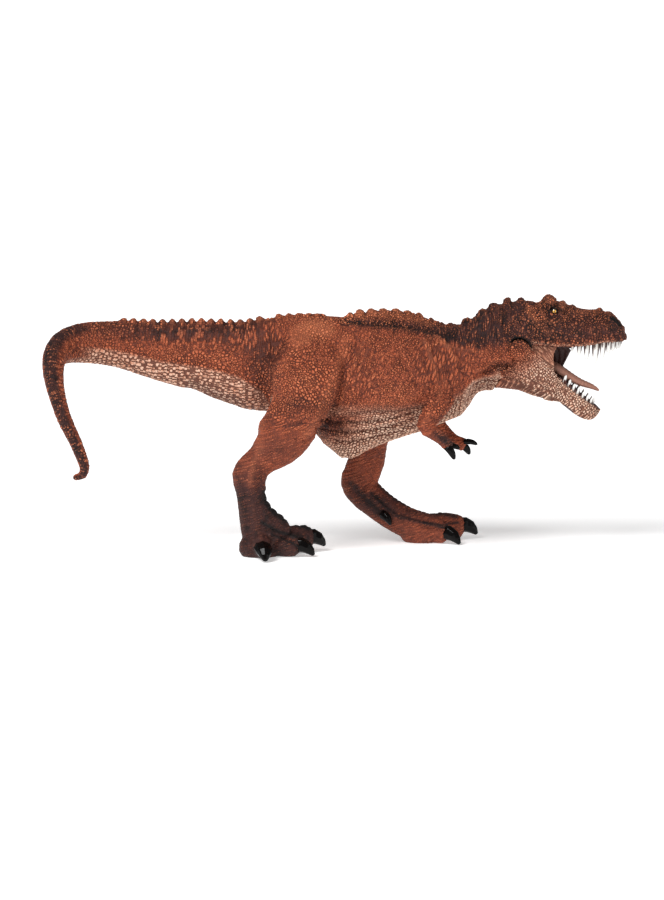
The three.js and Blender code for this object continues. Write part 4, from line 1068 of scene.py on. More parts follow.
def body_zones(points, normals, solid):
    """Paints, forms and pattern courses for every point of the body's skin."""
    zones = {}
    tail, head = solid == 1, solid == 2
    limb = solid >= 3
    core = ~limb
    column, row = seen(points, True)
    own_column, own_row = seen(points, False)

    form = np.zeros(len(points))
    form[core] = drawn_forms(column[core], row[core], TRUNK_FORMS + HEAD_FORMS)
    thigh = limb & (own_row < THIGH_END)
    form[thigh] += drawn_forms(column[thigh], row[thigh], TRUNK_FORMS)
    form[limb] += drawn_forms(own_column[limb], own_row[limb], LIMB_FORMS)
    for path, width, pitch, height in SCUTE_ROWS:
        form[limb] += drawn_beads(own_column[limb], own_row[limb], path, width, pitch, height)
    form += crest_beads(points, normals, column, row)
    form += np.where(head, eye_socket(column, row), 0) * MM * (np.abs(normals[:, 1]) > 0.3)
    lip = line_row(column, UPPER_LIP)
    labial = lip_band(row - lip, UPPER_LIP_SCALES) * (column > UPPER_LIP_START)
    notches = 0.5 + 0.5 * np.cos(2 * np.pi * column / UPPER_LIP_PITCH)
    form += np.where(head, labial * (notches - 0.4) * 0.5 + hinge_seam(points) * SEAM_HEIGHT, 0) * MM

    way, tail_angle, tail_radius = tail_course(points[tail], TAIL_SHIFT)
    hanging = np.zeros(len(points))
    hanging[tail] = rise(way, *HANGING_WAY)
    angle, radius = body_course(points)
    course = np.zeros((len(points), 3))
    middle, reach, most = LEAN
    lean = np.exp(-(((column - middle) / reach) ** 2)) * most
    course[:, 0] = points[:, 0] - lean * (points[:, 2] - LEAN_HEIGHT)
    course[:, 1] = angle * radius
    course[tail, 0] = -way
    course[tail, 1] = tail_angle * tail_radius
    course[limb, 0] = points[limb, 2] - 0.35 * points[limb, 0]
    course[limb, 1] = points[limb, 0] + points[limb, 1]

    pale = rise(row - line_row(column, PALE_LINE), *PALE_FADE) * (column < PALE_END)
    underside = rise(np.abs(np.where(tail, 0, angle)), *BELLY_ANGLES) * (column < UNDERSIDE_END)
    pale = np.where(column > UNDERSIDE_START, np.maximum(pale, underside), pale)
    wander = sum(height * np.sin(column * pitch + start) for height, pitch, start in EDGE_WAVES)
    above = line_row(column, DARK_LINE) - row + wander
    dark = rise(above, *DARK_FADE) * line_row(column, DARK_STRENGTH)
    dark = np.clip(dark + drawn_patches(column, row, TRUNK_DARK_AND_SHADE), 0, 1)
    off_middle = rise(np.abs(points[:, 1]), *INK_SIDE)
    # The head's black lines, with the painted shadow in the jaw's slit
    dark += np.where(head, drawn_forms(column, row, HEAD_INK_AND_SHADOW) / MM * off_middle, 0)
    dark += np.where(solid == 0, drawn_forms(column, row, TRUNK_INK) / MM, 0)
    pale = np.clip(pale - drawn_patches(column, row, PALE_GAPS), 0, 1)
    bright = 0.45 + drawn_patches(column, row, TRUNK_BRUSH_AND_HIGHLIGHT)
    bright += np.where(head, labial, 0) * 0.8
    lip_edge = lip_band(row - lip, UPPER_LIP_EDGE) * (column > UPPER_LIP_START)
    pale = np.maximum(pale, np.where(head, lip_edge, 0) * 0.6)
    crest = rise(row, *CREST_ROWS) * rise(np.abs(angle), *CREST_ANGLES) * (column < CREST_END)
    bright = np.where(head, 0.75 * bright, bright) + crest * 0.8
    dark *= 1 - 0.3 * crest
    upright = np.clip(drawn_patches(column, row, UPRIGHT_PATCHES), 0, 1)

    stripe = np.zeros(len(points))
    under = np.zeros(len(points))
    turn = 0.2 * rise(way, *TURNING_WAY)
    stripe[tail] = rise(np.abs(tail_angle - turn), *STRIPE_ANGLES)
    under[tail] = rise(np.abs(tail_angle), *UNDER_ANGLES)
    pale = pale * (1 - hanging) + under * hanging * 0.9
    dark = dark * (1 - hanging) + stripe * hanging
    bright += hanging * (1 - stripe) * 0.35
    upright = upright * (1 - hanging) + 0.6 * hanging

    foot = rise(own_row, *FOOT_ROWS)
    foot *= np.where(points[:, 1] < 0, 1.1, 0.35)
    limb_dark = 0.12 * rise(own_column, *ARM_COLUMNS) + drawn_patches(own_column, own_row, LIMB_DARK_AND_SHADE) + foot
    limb_dark = np.clip(limb_dark, 0, 1.12)
    # Black scutes and painted shade in the grooves of feet and hands
    limb_dark += drawn_forms(own_column, own_row, LIMB_INK_AND_SHADE) / MM
    limb_bright = 0.3 + drawn_patches(own_column, own_row, LIMB_BRUSH_AND_HIGHLIGHT + TRUNK_BRUSH_AND_HIGHLIGHT[:3]) - 0.35 * foot
    leg_hip = rise(own_row, *HIP_ROWS) * limb
    dark = np.where(limb, dark * leg_hip + limb_dark * (1 - leg_hip), dark)
    bright = np.where(limb, bright * leg_hip + limb_bright * (1 - leg_hip), bright)
    pale = np.where(limb, 0, pale)
    upright = np.where(limb, upright * leg_hip + 0.7 * (1 - leg_hip), upright)

    mouth = np.where(head, mouth_roof(points, normals), 0)
    form *= 1 - mouth
    fine = np.where(limb, rise(own_row, *FINE_ROWS), rise(column, *FINE_COLUMNS) * 0.55)
    fine = np.where(head, 0.3, np.where(tail, -pale, fine * (1 - pale)))
    pale = np.where(tail, 0.85 * pale, pale)
    zones.update(pale=pale, dark=dark, bright=bright, upright=upright, mouth=mouth, fine=fine)
    zones["form"] = form / MM
    lip_front = rise(column, *LIP_COLUMNS) * rise(row, *LIP_ROWS)
    zones["lift"] = np.where(head, lip_front, 0) * LIP_LIFT
    zones["course"] = course
    zones["strength"] = np.where(limb, 1 - 0.45 * rise(own_row, *SMOOTH_ROWS), 1.0) * (1 - mouth)
    return zones


def crest_beads(points, normals, column, row):
    """Scutes along the ridge of the back and tail, and the tail's upright ridges under them, in metres."""
    middle = np.exp(-((points[:, 1] / CREST_WIDTH) ** 2)) * (normals[:, 2] > 0)
    pitch = line_row(column, CREST_PITCH)
    beads = 0.5 + 0.5 * np.cos(2 * np.pi * column / pitch)
    knobs = np.abs(np.cos(np.pi * column / pitch)) ** 0.8 * 1.35 - 0.35
    beads = np.where(column > CREST_CHANGE, knobs, beads)
    height = line_row(column, CREST_HEIGHT)
    high = points[:, 2] > CREST_FLOOR
    ridges = np.exp(-(((row - RIDGE_ROW) / RIDGE_REACH) ** 2))
    ridges *= rise(column, *RIDGE_REAR) * rise(column, *RIDGE_FRONT)
    return (height * middle * high + RIDGE_SHARE * ridges) * beads * MM


# The lower jaw: direction of its rows of scales in degrees, the line across it from dark cheek to
# pale jaw, with its slope, and the skin of the cheek: first column, lower edge's place and slope, and
# where its streaks begin and its front edge lies
JAW_ROWS_ANGLE = 50
JAW_PALE_LINE = (0.75, 746)
JAW_PALE_FADE = (-4, 34)
JAW_DARK_LINE = (0.2, 520, 352)
JAW_DARK_FADE = (-6, 8)
JAW_DARK_END = 530
WEB_START = 529
WEB_EDGE = (0.75, 524, 345)
WEB_STREAKS = (528, 534)
WEB_FRONT = (545, 552)
WEB_TOP = (355, 346)
WEB_END = 562

# Soft patches on the jaw of dark paint and painted shade under the neck's fold, of bright tops and of folds
# that run lengthwise
JAW_DARK_AND_SHADE = [(520, 386, 14, 6, 0.35), (510, 368, 8, 8, 0.5)]
JAW_BRIGHT = [(575, 396, 24, 12, 0.5), (530, 362, 14, 12, 0.35)]
JAW_LENGTHWISE = [(520, 386, 32, 7, 1.1)]


def jaw_zones(points, normals, solid):
    """Paints, forms and pattern courses for every point of the lower jaw's skin."""
    column, row = seen(points, True)
    form = drawn_forms(column, row, JAW_FORMS)
    edge = line_row(column, LOWER_LIP)
    labial = lip_band(row - edge, LOWER_LIP_SCALES) * (column > LOWER_LIP_START)
    notches = 0.5 + 0.5 * np.cos(2 * np.pi * (column + row) / LOWER_LIP_PITCH)
    form += (labial * (notches - 0.4) * 0.55 + hinge_seam(points) * SEAM_HEIGHT) * MM
    slope = math.radians(JAW_ROWS_ANGLE)
    offset = points - np.array(HINGE)
    course = np.zeros((len(points), 3))
    course[:, 0] = offset[:, 0] * math.cos(slope) - offset[:, 2] * math.sin(slope)
    course[:, 1] = offset[:, 0] * math.sin(slope) + offset[:, 2] * math.cos(slope) + points[:, 1]
    within = between_sides(points, LOWER_MOUTH, JAW_WALL) & (column > JAW_MOUTH_START)
    inward = normals[:, 1] * np.sign(points[:, 1]) < -0.3
    mouth = (within & ((normals[:, 2] > 0.3) | inward | (normals[:, 0] < -0.5))).astype(float)
    slant, start = JAW_PALE_LINE
    pale = rise(column * slant + row - start, *JAW_PALE_FADE)
    slant, start, height = WEB_EDGE
    web = (column > WEB_START) & (row < height + slant * (column - start))
    pale = np.maximum(pale, web * 0.75)
    slant, start, height = JAW_DARK_LINE
    dark = rise(height - row + slant * (column - start), *JAW_DARK_FADE) * 0.5 * (column < JAW_DARK_END)
    dark += drawn_patches(column, row, JAW_DARK_AND_SHADE)
    dark += web * 0.12
    bright = 0.55 + drawn_patches(column, row, JAW_BRIGHT)
    lengthwise = np.clip(drawn_patches(column, row, JAW_LENGTHWISE), 0, 1)
    streaked = web * rise(column, *WEB_STREAKS)
    throat = (lengthwise > 0.45) | web
    web_edge = rise(column, *WEB_FRONT) * rise(row, *WEB_TOP) * (column < WEB_END)
    course[throat] = course[throat][:, [1, 0, 2]]
    # Painted shadow in the slit over the jaw's boss
    dark += drawn_forms(column, row, HEAD_INK_AND_SHADOW[1:2]) / MM
    form *= 1 - mouth
    return {
        "pale": pale,
        "dark": np.clip(dark, 0, 2),
        "bright": bright,
        "upright": np.maximum(lengthwise, streaked),
        "mouth": mouth,
        "fine": np.full(len(points), 0.8),
        "form": form / MM,
        "course": course,
        "strength": (1 - mouth) * (1 - 0.6 * streaked),
        "draw": web_edge * WEB_DRAW,
    }


def sculpt(skin, sizes, zones_of):
    """Raises the drawn forms and then the scales on a skin, and leaves the paints on it."""
    mesh = skin.data
    number = get_values(mesh, "solid_number", np.int32)
    corners = face_corners(mesh)
    labels = settled_labels(number, corners, len(mesh.vertices), number.max() + 1)
    solid = np.zeros(len(mesh.vertices), int)
    solid[corners.ravel()] = np.repeat(labels, 4)
    points, normals = points_of(mesh), normals_of(mesh)
    zones = zones_of(points, normals, solid)
    points = points + normals * (zones["form"] * MM)[:, None]
    points[:, 2] += zones.get("lift", 0)
    points[:, 0] += zones.get("draw", 0)
    set_points(mesh, points)
    set_values(mesh, "place", points, "FLOAT_VECTOR")
    set_values(mesh, "course", zones["course"], "FLOAT_VECTOR")
    for name in PAINT_VALUES:
        set_values(mesh, name, np.clip(zones[name], -2, 2))

    def raise_cells(nodes, geometry):
        return stored(nodes, geometry, "cells", skin_cells(nodes, sizes.pebble))

    apply_modifier(skin, "NODES", node_group=geometry_group("raise_cells", raise_cells))
    mesh = skin.data
    height = (get_values(mesh, "cells") - 0.6) * sizes.pebble_height * zones["strength"]
    set_points(mesh, points + normals_of(mesh) * height[:, None])
    return labels


def face_corners(mesh):
    corners = np.empty(len(mesh.loops), np.int32)
    mesh.loops.foreach_get("vertex_index", corners)
    return corners.reshape(-1, 4)


def settled_labels(labels, corners, points, kinds, rounds=8):
    """Evens the border between faces that belong to different solids."""
    for _ in range(rounds):
        votes = np.zeros((points, kinds))
        for k in range(4):
            np.add.at(votes, (corners[:, k], labels), 1)
        labels = votes[corners].sum(axis=1).argmax(axis=1)
    return labels


def border_loops(corners):
    """Closed loops of directed edges that only one of the faces has."""
    start, end = corners.ravel(), np.roll(corners, -1, axis=1).ravel()
    size = int(corners.max()) + 1
    lone = ~np.isin(end.astype(np.int64) * size + start, start.astype(np.int64) * size + end)
    following = defaultdict(list)
    for a, b in zip(start[lone].tolist(), end[lone].tolist()):
        following[a].append(b)
    loops = []
    while following:
        first = next(iter(following))
        loop, here = [first], first
        while following.get(here):
            there = following[here].pop()
            if not following[here]:
                del following[here]
            here = there
            if here == first:
                break
            loop.append(here)
        loops.append(loop)
    return loops


def cut_piece(skin, corners, name):
    """A closed piece from some of a skin's faces, with a hidden cone over each cut edge."""
    used = np.unique(corners)
    renumber = np.full(int(corners.max()) + 1, -1)
    renumber[used] = np.arange(len(used))
    corners = renumber[corners]
    points = points_of(skin.data)[used]
    faces = corners.tolist()
    source = list(used)
    apexes = []
    rims = set()
    for loop in border_loops(corners):
        apex = len(points) + len(apexes)
        apexes.append(points[loop].mean(axis=0))
        source.append(used[loop[0]])
        for a, b in zip(loop, loop[1:] + loop[:1]):
            faces.append([b, a, apex])
            rims.add((min(a, b), max(a, b)))
    if apexes:
        points = np.vstack([points, apexes])
    mesh = bpy.data.meshes.new(name)
    mesh.from_pydata(points.tolist(), [], faces)
    mesh.polygons.foreach_set("use_smooth", [True] * len(faces))
    ends = np.empty(len(mesh.edges) * 2, np.int32)
    mesh.edges.foreach_get("vertices", ends)
    ends = np.sort(ends.reshape(-1, 2), axis=1)
    sharp = [(int(a), int(b)) in rims for a, b in ends] if rims else [False] * len(ends)
    set_values(mesh, "sharp_edge", np.array(sharp), "BOOLEAN", "EDGE")
    for value in PAINT_VALUES:
        set_values(mesh, value, get_values(skin.data, value)[source])
    for value in ("place", "course"):
        layer = np.empty(len(skin.data.vertices) * 3)
        skin.data.attributes[value].data.foreach_get("vector", layer)
        set_values(mesh, value, layer.reshape(-1, 3)[source], "FLOAT_VECTOR")
    mesh.update()
    return link(name, mesh)


def finish_piece(piece, nodes, body, material):
    """Gives a finished piece its paint and its body, and hides the nodes that it stands for."""
    piece.data.materials.clear()
    piece.data.materials.append(material)
    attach(piece, body)
    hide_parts(*nodes)


# Columns over which the broad forms begin at the tail and end at the neck
BROAD_REAR = (95, 150)
BROAD_FRONT = (520, 470)

# Half width and least height of the crest, the heights over which the legs' broad forms begin, and
# the space of the arms, below one height and ahead of one place
CREST_SIDE = 5 * MM
CREST_BASE = 105 * MM
BROAD_HEIGHTS = (40 * MM, 62 * MM)
ARM_TOP = 78 * MM
ARM_REAR = 42 * MM


def broad_weights(skin):
    """Marks the broad forms, which are smoothed further than scutes, hands, feet and lips."""
    points = points_of(skin.data)
    column, _ = seen(points, True)
    crest = (np.abs(points[:, 1]) < CREST_SIDE) & (points[:, 2] > CREST_BASE)
    broad = rise(points[:, 2], *BROAD_HEIGHTS) * rise(column, *BROAD_REAR) * rise(column, *BROAD_FRONT)
    narrow = (points[:, 2] < ARM_TOP) & (points[:, 0] > ARM_REAR)
    broad = np.where(crest | narrow, 0, broad)
    group = skin.vertex_groups.new(name="broad")
    for level in range(1, 5):
        chosen = np.flatnonzero(np.round(broad * 4) == level)
        group.add(chosen.tolist(), level / 4, "REPLACE")


class FIGURE_OT_body_skin(bpy.types.Operator):
    """Sculpt torso, tail, head, legs and arms as one skin and part it into its pieces"""

    bl_idname = "figure.body_skin"
    bl_label = "Body skin"

    def execute(self, context):
        sizes, colours = context.scene.figure_sizes, context.scene.figure_colours
        skin = skin_form(BODY_NODES, sizes.grain, sizes, "body_skin")
        broad_weights(skin)
        apply_modifier(
            skin, "SMOOTH", factor=0.5, iterations=sizes.broad_rounding, vertex_group="broad"
        )
        deepened(skin, sizes.cover)
        labels = sculpt(skin, sizes, body_zones)
        corners = face_corners(skin.data)
        material = bpy.data.materials.get("painted_hide") or hide_material(sizes, colours)
        for number, node in enumerate(BODY_NODES):
            piece = cut_piece(skin, corners[labels == number], node + "_skin")
            finish_piece(piece, [node], "figure", material)
        bpy.data.objects.remove(skin)
        return {"FINISHED"}


class FIGURE_OT_jaw_skin(bpy.types.Operator):
    """Sculpt the lower jaw's skin"""

    bl_idname = "figure.jaw_skin"
    bl_label = "Lower jaw"

    def execute(self, context):
        sizes, colours = context.scene.figure_sizes, context.scene.figure_colours
        skin = skin_form(["lower_jaw"], sizes.jaw_grain, sizes, "jaw_skin")
        deepened(skin, sizes.cover)
        sculpt(skin, sizes, jaw_zones)
        piece = cut_piece(skin, face_corners(skin.data), "lower_jaw_skin")
        bpy.data.objects.remove(skin)
        material = bpy.data.materials.get("painted_hide") or hide_material(sizes, colours)
        finish_piece(piece, ["lower_jaw"], "jaw", material)
        return {"FINISHED"}


def spike(name, rings, sides):
    """A curved spike along +Z, one long and one in radius at its root: rings of lean, height and radius."""
    bpy.ops.object.select_all(action="DESELECT")
    bpy.ops.mesh.primitive_circle_add(vertices=sides, radius=1, fill_type="NGON")
    piece = bpy.context.active_object
    piece.name = name
    bpy.ops.object.mode_set(mode="EDIT")
    bpy.ops.mesh.select_all(action="SELECT")
    lean, height, radius = 0, 0, 1
    for next_lean, next_height, next_radius in rings:
        move = (next_lean - lean, 0, next_height - height)
        bpy.ops.mesh.extrude_region_move(TRANSFORM_OT_translate={"value": move})
        ratio = next_radius / radius
        centre = (next_lean, 0, next_height)
        bpy.ops.transform.resize(value=(ratio, ratio, ratio), center_override=centre)
        lean, height, radius = next_lean, next_height, next_radius
    bpy.ops.mesh.select_all(action="SELECT")
    bpy.ops.mesh.normals_make_consistent(inside=False)
    bpy.ops.object.mode_set(mode="OBJECT")
    bpy.ops.object.shade_smooth()
    return piece


TOOTH_RINGS = [
    (0, 0.15, 1.0), (0.01, 0.32, 1.0), (0.0, 0.5, 0.95), (-0.03, 0.68, 0.82),
    (-0.07, 0.83, 0.62), (-0.11, 0.94, 0.36), (-0.13, 1.0, 0.1),
]

# How thick a tooth is across the jaw next to along it, and where the rows' arches have their middle
TOOTH_FLATNESS = 0.62
ARCH_MIDDLE = 122 * MM

# Thickness of a tooth along the jaw next to its cone's, above and below
UPPER_THICKNESS = 1.7
LOWER_THICKNESS = 1.15

# How far a tooth's root is sunk, its least thickness, how far a cone's tip stands past the corners
# round it, and the size of a face of the gum
ROOT_SINK = 0.7 * MM
LEAST_THICKNESS = 0.35 * MM
TIP_RISE = 0.5 * MM
GUM_GRAIN = 0.3 * MM

# Half the length and thickness of the gum round a tooth, and its half height next to the tooth's length
GUM_LENGTH = 2.1 * MM
GUM_THICKNESS = 0.4 * MM
GUM_HEIGHT_SHARE = 0.46


def cone_tips(cage, way):
    """Each corner at a cone's tip, pointing up or down, with the places of the corners round it."""
    tips = []
    for corner in cage.verts:
        around = [edge.other_vert(corner).co for edge in corner.link_edges]
        if len(around) >= 5 and all((corner.co.z - spot.z) * way > TIP_RISE for spot in around):
            tips.append((corner, around))
    return tips


def tooth_places(form, way):
    """Tip, root and thickness of each cone on a tooth strip's copy, which is left as its bare band."""
    cage = bmesh.new()
    cage.from_mesh(form.data)
    places = []
    for corner, around in cone_tips(cage, way):
        root = sum(around, Vector()) / len(around)
        spread = sum((spot - root).length for spot in around) / len(around)
        places.append((corner.co.copy(), root, spread))
        corner.co = root
    cage.to_mesh(form.data)
    cage.free()
    return places


def mark_gum(mesh):
    for name in ("root", "side"):
        set_values(mesh, name, np.ones(len(mesh.vertices)))


def gum_lobe(name, pattern, start, reach, inward):
    """The dark gum between a tooth and the next, thin enough for the shut jaw to pass."""
    lobe = link(name + "_gum", pattern.data.copy())
    along = Vector((-inward[1], inward[0], 0)) * GUM_LENGTH
    across = Vector((inward[0], inward[1], 0)) * GUM_THICKNESS
    height = Vector((0, 0, reach.length * GUM_HEIGHT_SHARE))
    shape = Matrix((along, across, height)).transposed().to_4x4()
    lobe.data.transform(Matrix.Translation(start) @ shape)
    if shape.determinant() < 0:
        lobe.data.flip_normals()
    mark_gum(lobe.data)
    return lobe


def tooth_row(name, node, way, thickness):
    """Curved teeth in place of a strip's cones, on the strip's own band."""
    form = merged_copy(node)
    places = tooth_places(form, way)
    pattern = spike("tooth_pattern", TOOTH_RINGS, 12)
    bpy.ops.mesh.primitive_uv_sphere_add(segments=20, ring_count=12, radius=1)
    gum_pattern = bpy.context.active_object
    bpy.ops.object.shade_smooth()
    teeth = []
    for tip, root, spread in places:
        axis = tip - root
        start = root - axis.normalized() * ROOT_SINK
        reach = tip - start
        turn = Vector((0, 0, 1)).rotation_difference(reach.normalized()).to_matrix().to_4x4()
        width = max(spread * thickness, LEAST_THICKNESS)
        size = Matrix.Diagonal((width, width, reach.length, 1))
        tooth = link(name + "_tooth", pattern.data.copy())
        heights = points_of(tooth.data)[:, 2]
        tooth.data.transform(Matrix.Translation(start) @ turn @ size)
        points = points_of(tooth.data)
        axis_x, axis_y = start.x + reach.x * heights, start.y + reach.y * heights
        points[:, 1] = axis_y + (points[:, 1] - axis_y) * TOOTH_FLATNESS
        set_points(tooth.data, points)
        inward = np.array((ARCH_MIDDLE - root.x, -root.y))
        inward /= np.linalg.norm(inward)
        # Faces turned into the mouth are marked for painted shade, and the tooth's edges for dark wash
        facing = normals_of(tooth.data)[:, :2] @ inward
        aside = np.abs(points[:, 0] - axis_x) / width
        set_values(tooth.data, "root", 1 - heights)
        set_values(tooth.data, "side", np.maximum(aside, rise(facing, 0.0, 0.6)))
        teeth.append(tooth)
        teeth.append(gum_lobe(name, gum_pattern, start, reach, inward))
    bpy.data.objects.remove(pattern)
    bpy.data.objects.remove(gum_pattern)
    band = gum_band(form)
    row = joined([*teeth, band], name)
    row.data.update()
    return row


def gum_band(form):
    """The strip's bare band, rounded."""
    smoothed(form, GUM_GRAIN, 4)
    mark_gum(form.data)
    return form


class FIGURE_OT_teeth(bpy.types.Operator):
    """Model the upper and lower teeth"""

    bl_idname = "figure.teeth"
    bl_label = "Teeth"

    def execute(self, context):
        colours = context.scene.figure_colours
        material = tooth_material(colours)
        upper = tooth_row("upper_teeth_row", "upper_teeth", -1, UPPER_THICKNESS)
        finish_piece(upper, ["upper_teeth"], "figure", material)
        lower = tooth_row("lower_teeth_row", "lower_teeth", 1, LOWER_THICKNESS)
        finish_piece(lower, ["lower_teeth"], "jaw", material)
        return {"FINISHED"}


def rounded_copy(node, name, grain, rounding, growth):
    """A smooth closed copy of a small solid."""
    piece = merged_copy(node)
    apply_modifier(piece, "DISPLACE", strength=growth, mid_level=0)
    smoothed(piece, grain, rounding)
    piece.name = name
    return piece


# How much the tongue is grown before it is rounded, and its middle groove and cross ridges
TONGUE_GROWTH = 0.15 * MM
GROOVE_WIDTH = 0.8 * MM
GROOVE_DEPTH = 0.55 * MM
RIDGE_PITCH = 1.7 * MM
RIDGE_HEIGHT = 0.07 * MM


class FIGURE_OT_tongue(bpy.types.Operator):
    """Model the tongue with its middle groove and cross ridges"""

    bl_idname = "figure.tongue"
    bl_label = "Tongue"

    def execute(self, context):
        sizes, colours = context.scene.figure_sizes, context.scene.figure_colours
        piece = rounded_copy("tongue", "tongue_flesh", sizes.claw_grain, 8, TONGUE_GROWTH)
        points, normals = points_of(piece.data), normals_of(piece.data)
        groove = np.exp(-((points[:, 1] / GROOVE_WIDTH) ** 2))
        ridges = np.cos(2 * np.pi * points[:, 0] / RIDGE_PITCH)
        height = (ridges * RIDGE_HEIGHT - groove * GROOVE_DEPTH) * (normals[:, 2] > 0)
        set_points(piece.data, points + normals * height[:, None])
        material = plain_finish("painted_tongue", colours)
        finish_piece(piece, ["tongue"], "jaw", material)
        return {"FINISHED"}


# Folds of the far cheek's inner skin, seen between the jaws: name, node, body, rear column, front
# columns at the shares below of the way down, top and bottom rows, and distance from the middle in
# millimetres at rear and front. When the jaw shuts, they pass each other between tongue and teeth.
# After them come their thickness, and the height in millimetres and number of their waves.
CHEEK_FOLDS = [
    ("palate_fold", "head", "figure", 555, (577.5, 576.5, 571), (338, 348.5), (5.0, 4.9)),
    ("cheek_fold", "lower_jaw", "jaw", 549, (567, 571.3, 562), (347, 368), (7.6, 6.5)),
]
FOLD_SHARES = (0, 0.15, 1)
FOLD_THICKNESS = 0.6 * MM
FOLD_WAVE = 0.12
FOLD_WAVES = 3.5


class FIGURE_OT_mouth_lining(bpy.types.Operator):
    """Model the two folds of the far cheek's inner skin between the jaws"""

    bl_idname = "figure.mouth_lining"
    bl_label = "Mouth lining"

    def execute(self, context):
        sizes, colours = context.scene.figure_sizes, context.scene.figure_colours
        material = plain_finish("mouth_skin", colours)
        for name, node, body, rear, fronts, rows, sides in CHEEK_FOLDS:
            bpy.ops.object.select_all(action="DESELECT")
            bpy.ops.mesh.primitive_grid_add(x_subdivisions=24, y_subdivisions=24, size=1)
            piece = bpy.context.active_object
            piece.name = name
            ahead, down, _ = (points_of(piece.data) + 0.5).T
            column = rear + (np.interp(down, FOLD_SHARES, fronts) - rear) * ahead
            row = np.interp(down, (0, 1), rows)
            folds = np.sin(2 * np.pi * (ahead * FOLD_WAVES - down)) * FOLD_WAVE
            y = (sides[0] + (sides[1] - sides[0]) * ahead**1.5 + folds) * MM
            x = (column - MIDDLE_COLUMN) * PIXEL
            z = ((FLOOR_ROW - row) * PIXEL - y * math.sin(TILT)) / math.cos(TILT)
            set_points(piece.data, np.stack([x, y, z], axis=1))
            apply_modifier(piece, "SOLIDIFY", thickness=FOLD_THICKNESS, offset=0)
            smoothed(piece, sizes.claw_grain, 4)
            finish_piece(piece, [node], body, material)
        return {"FINISHED"}


# How much a claw is grown before it is rounded
CLAW_GROWTH = 0.45 * MM

# How much broader the near foot's outer claw is than its solid
OUTER_CLAW_BREADTH = 1.4

# How long and how broad the finger claws are, next to their solids
FINGER_CLAW_LENGTH = 0.78
FINGER_CLAW_BREADTH = 1.25


class FIGURE_OT_claws(bpy.types.Operator):
    """Model the glossy claws of feet and hands"""

    bl_idname = "figure.claws"
    bl_label = "Claws"

    def execute(self, context):
        sizes, colours = context.scene.figure_sizes, context.scene.figure_colours
        material = plain_finish("painted_claw", colours)
        for node in sorted(frame["nodes"]):
            if node.endswith("claw"):
                piece = rounded_copy(node, node + "_horn", sizes.claw_grain, 6, CLAW_GROWTH)
                points = points_of(piece.data)
                points[:, 2] = np.maximum(points[:, 2], 0)
                middle = points[:, 0].mean()
                if node == "right_outer_claw":
                    points[:, 0] = middle + (points[:, 0] - middle) * OUTER_CLAW_BREADTH
                if "finger" in node:
                    top = points[:, 2].max()
                    points[:, 0] = middle + (points[:, 0] - middle) * FINGER_CLAW_BREADTH
                    points[:, 2] = top + (points[:, 2] - top) * FINGER_CLAW_LENGTH
                set_points(piece.data, points)
                finish_piece(piece, [node], "figure", material)
        return {"FINISHED"}


class FIGURE_OT_eyes(bpy.types.Operator):
    """Model the eyes with a domed cornea over iris and slit"""

    bl_idname = "figure.eyes"
    bl_label = "Eyes"

    def execute(self, context):
        colours = context.scene.figure_colours
        material = eye_material(colours)
        for node in ("right_eye", "left_eye"):
            low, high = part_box(node)
            radius = (high.x - low.x) / 2
            middle = (low + high) / 2
            side = -1 if middle.y < 0 else 1
            bpy.ops.object.select_all(action="DESELECT")
            bpy.ops.mesh.primitive_uv_sphere_add(segments=48, ring_count=32, radius=radius)
            piece = bpy.context.active_object
            piece.name = node + "_ball"
            points = points_of(piece.data) / radius
            outward = points[:, 1] * side
            around = np.hypot(points[:, 0], points[:, 2])
            dome = np.where(outward > 0, np.exp(-((around / 0.55) ** 2)) * 0.1, 0)
            points[:, 1] += side * dome
            set_points(piece.data, points * radius + np.array(middle))
            set_values(piece.data, "around_iris", np.where(outward > 0, around, 1.0))
            set_values(piece.data, "across_slit", np.abs(points[:, 0]))
            bpy.ops.object.shade_smooth()
            finish_piece(piece, [node], "figure", material)
        return {"FINISHED"}


class FIGURE_OT_pin(bpy.types.Operator):
    """Give the jaw's steel pin its drawn-wire finish"""

    bl_idname = "figure.pin"
    bl_label = "Jaw pin"

    def execute(self, context):
        colours = context.scene.figure_colours
        material = plain_finish("drawn_wire", colours)
        material.node_tree.nodes["Principled BSDF"].inputs["Metallic"].default_value = 1.0
        pin = frame["nodes"]["jaw_hinge_pin"]
        pin.data.materials.clear()
        pin.data.materials.append(material)
        return {"FINISHED"}


# Size of the clouds in the floor's paint, nearest that the camera sees, and how far behind the
# picture's middle column it aims
FLOOR_CLOUD = 0.3
CLIP_START = 0.05
AIM_X = -3 * PIXEL

# Where the suns shine from
KEY_DIRECTION = (-0.45, -0.6, 0.85)
FILL_DIRECTION = (0.8, -0.7, 0.3)


class StageSizes(bpy.types.PropertyGroup):
    """Floor, camera and lamps."""

    floor_half: length_property("Floor", "Half the width of the floor", 16.0)
    distance: length_property("Camera distance", "From the figure to the camera", 7.704)
    lens: FloatProperty(name="Lens", description="Focal length in mm", default=600, min=20)
    aim_height: length_property("Aim height", "Height that the camera looks at", 51.5 * MM)
    key: light_property("Key light", "Strength of the sun from the upper left", 3.0)
    fill: light_property("Fill light", "Strength of the sun from the right", 0.3)
    softness: FloatProperty(
        name="Softness", description="Angle that the suns fill", default=0.5, min=0, subtype="ANGLE"
    )
    sky: light_property("Sky", "Brightness of the surroundings", 0.2)
    floor_glow: light_property("Floor glow", "Light that the lit table gives off", 0.42)


def sun(name, direction, angle, strength):
    """A soft distant lamp that shines from a direction."""
    data = bpy.data.lights.new(name, "SUN")
    data.angle = angle
    data.energy = strength
    lamp = link(name, data)
    lamp.location = Vector(direction)
    lamp.rotation_euler = Vector(direction).to_track_quat("Z", "Y").to_euler()
    return lamp


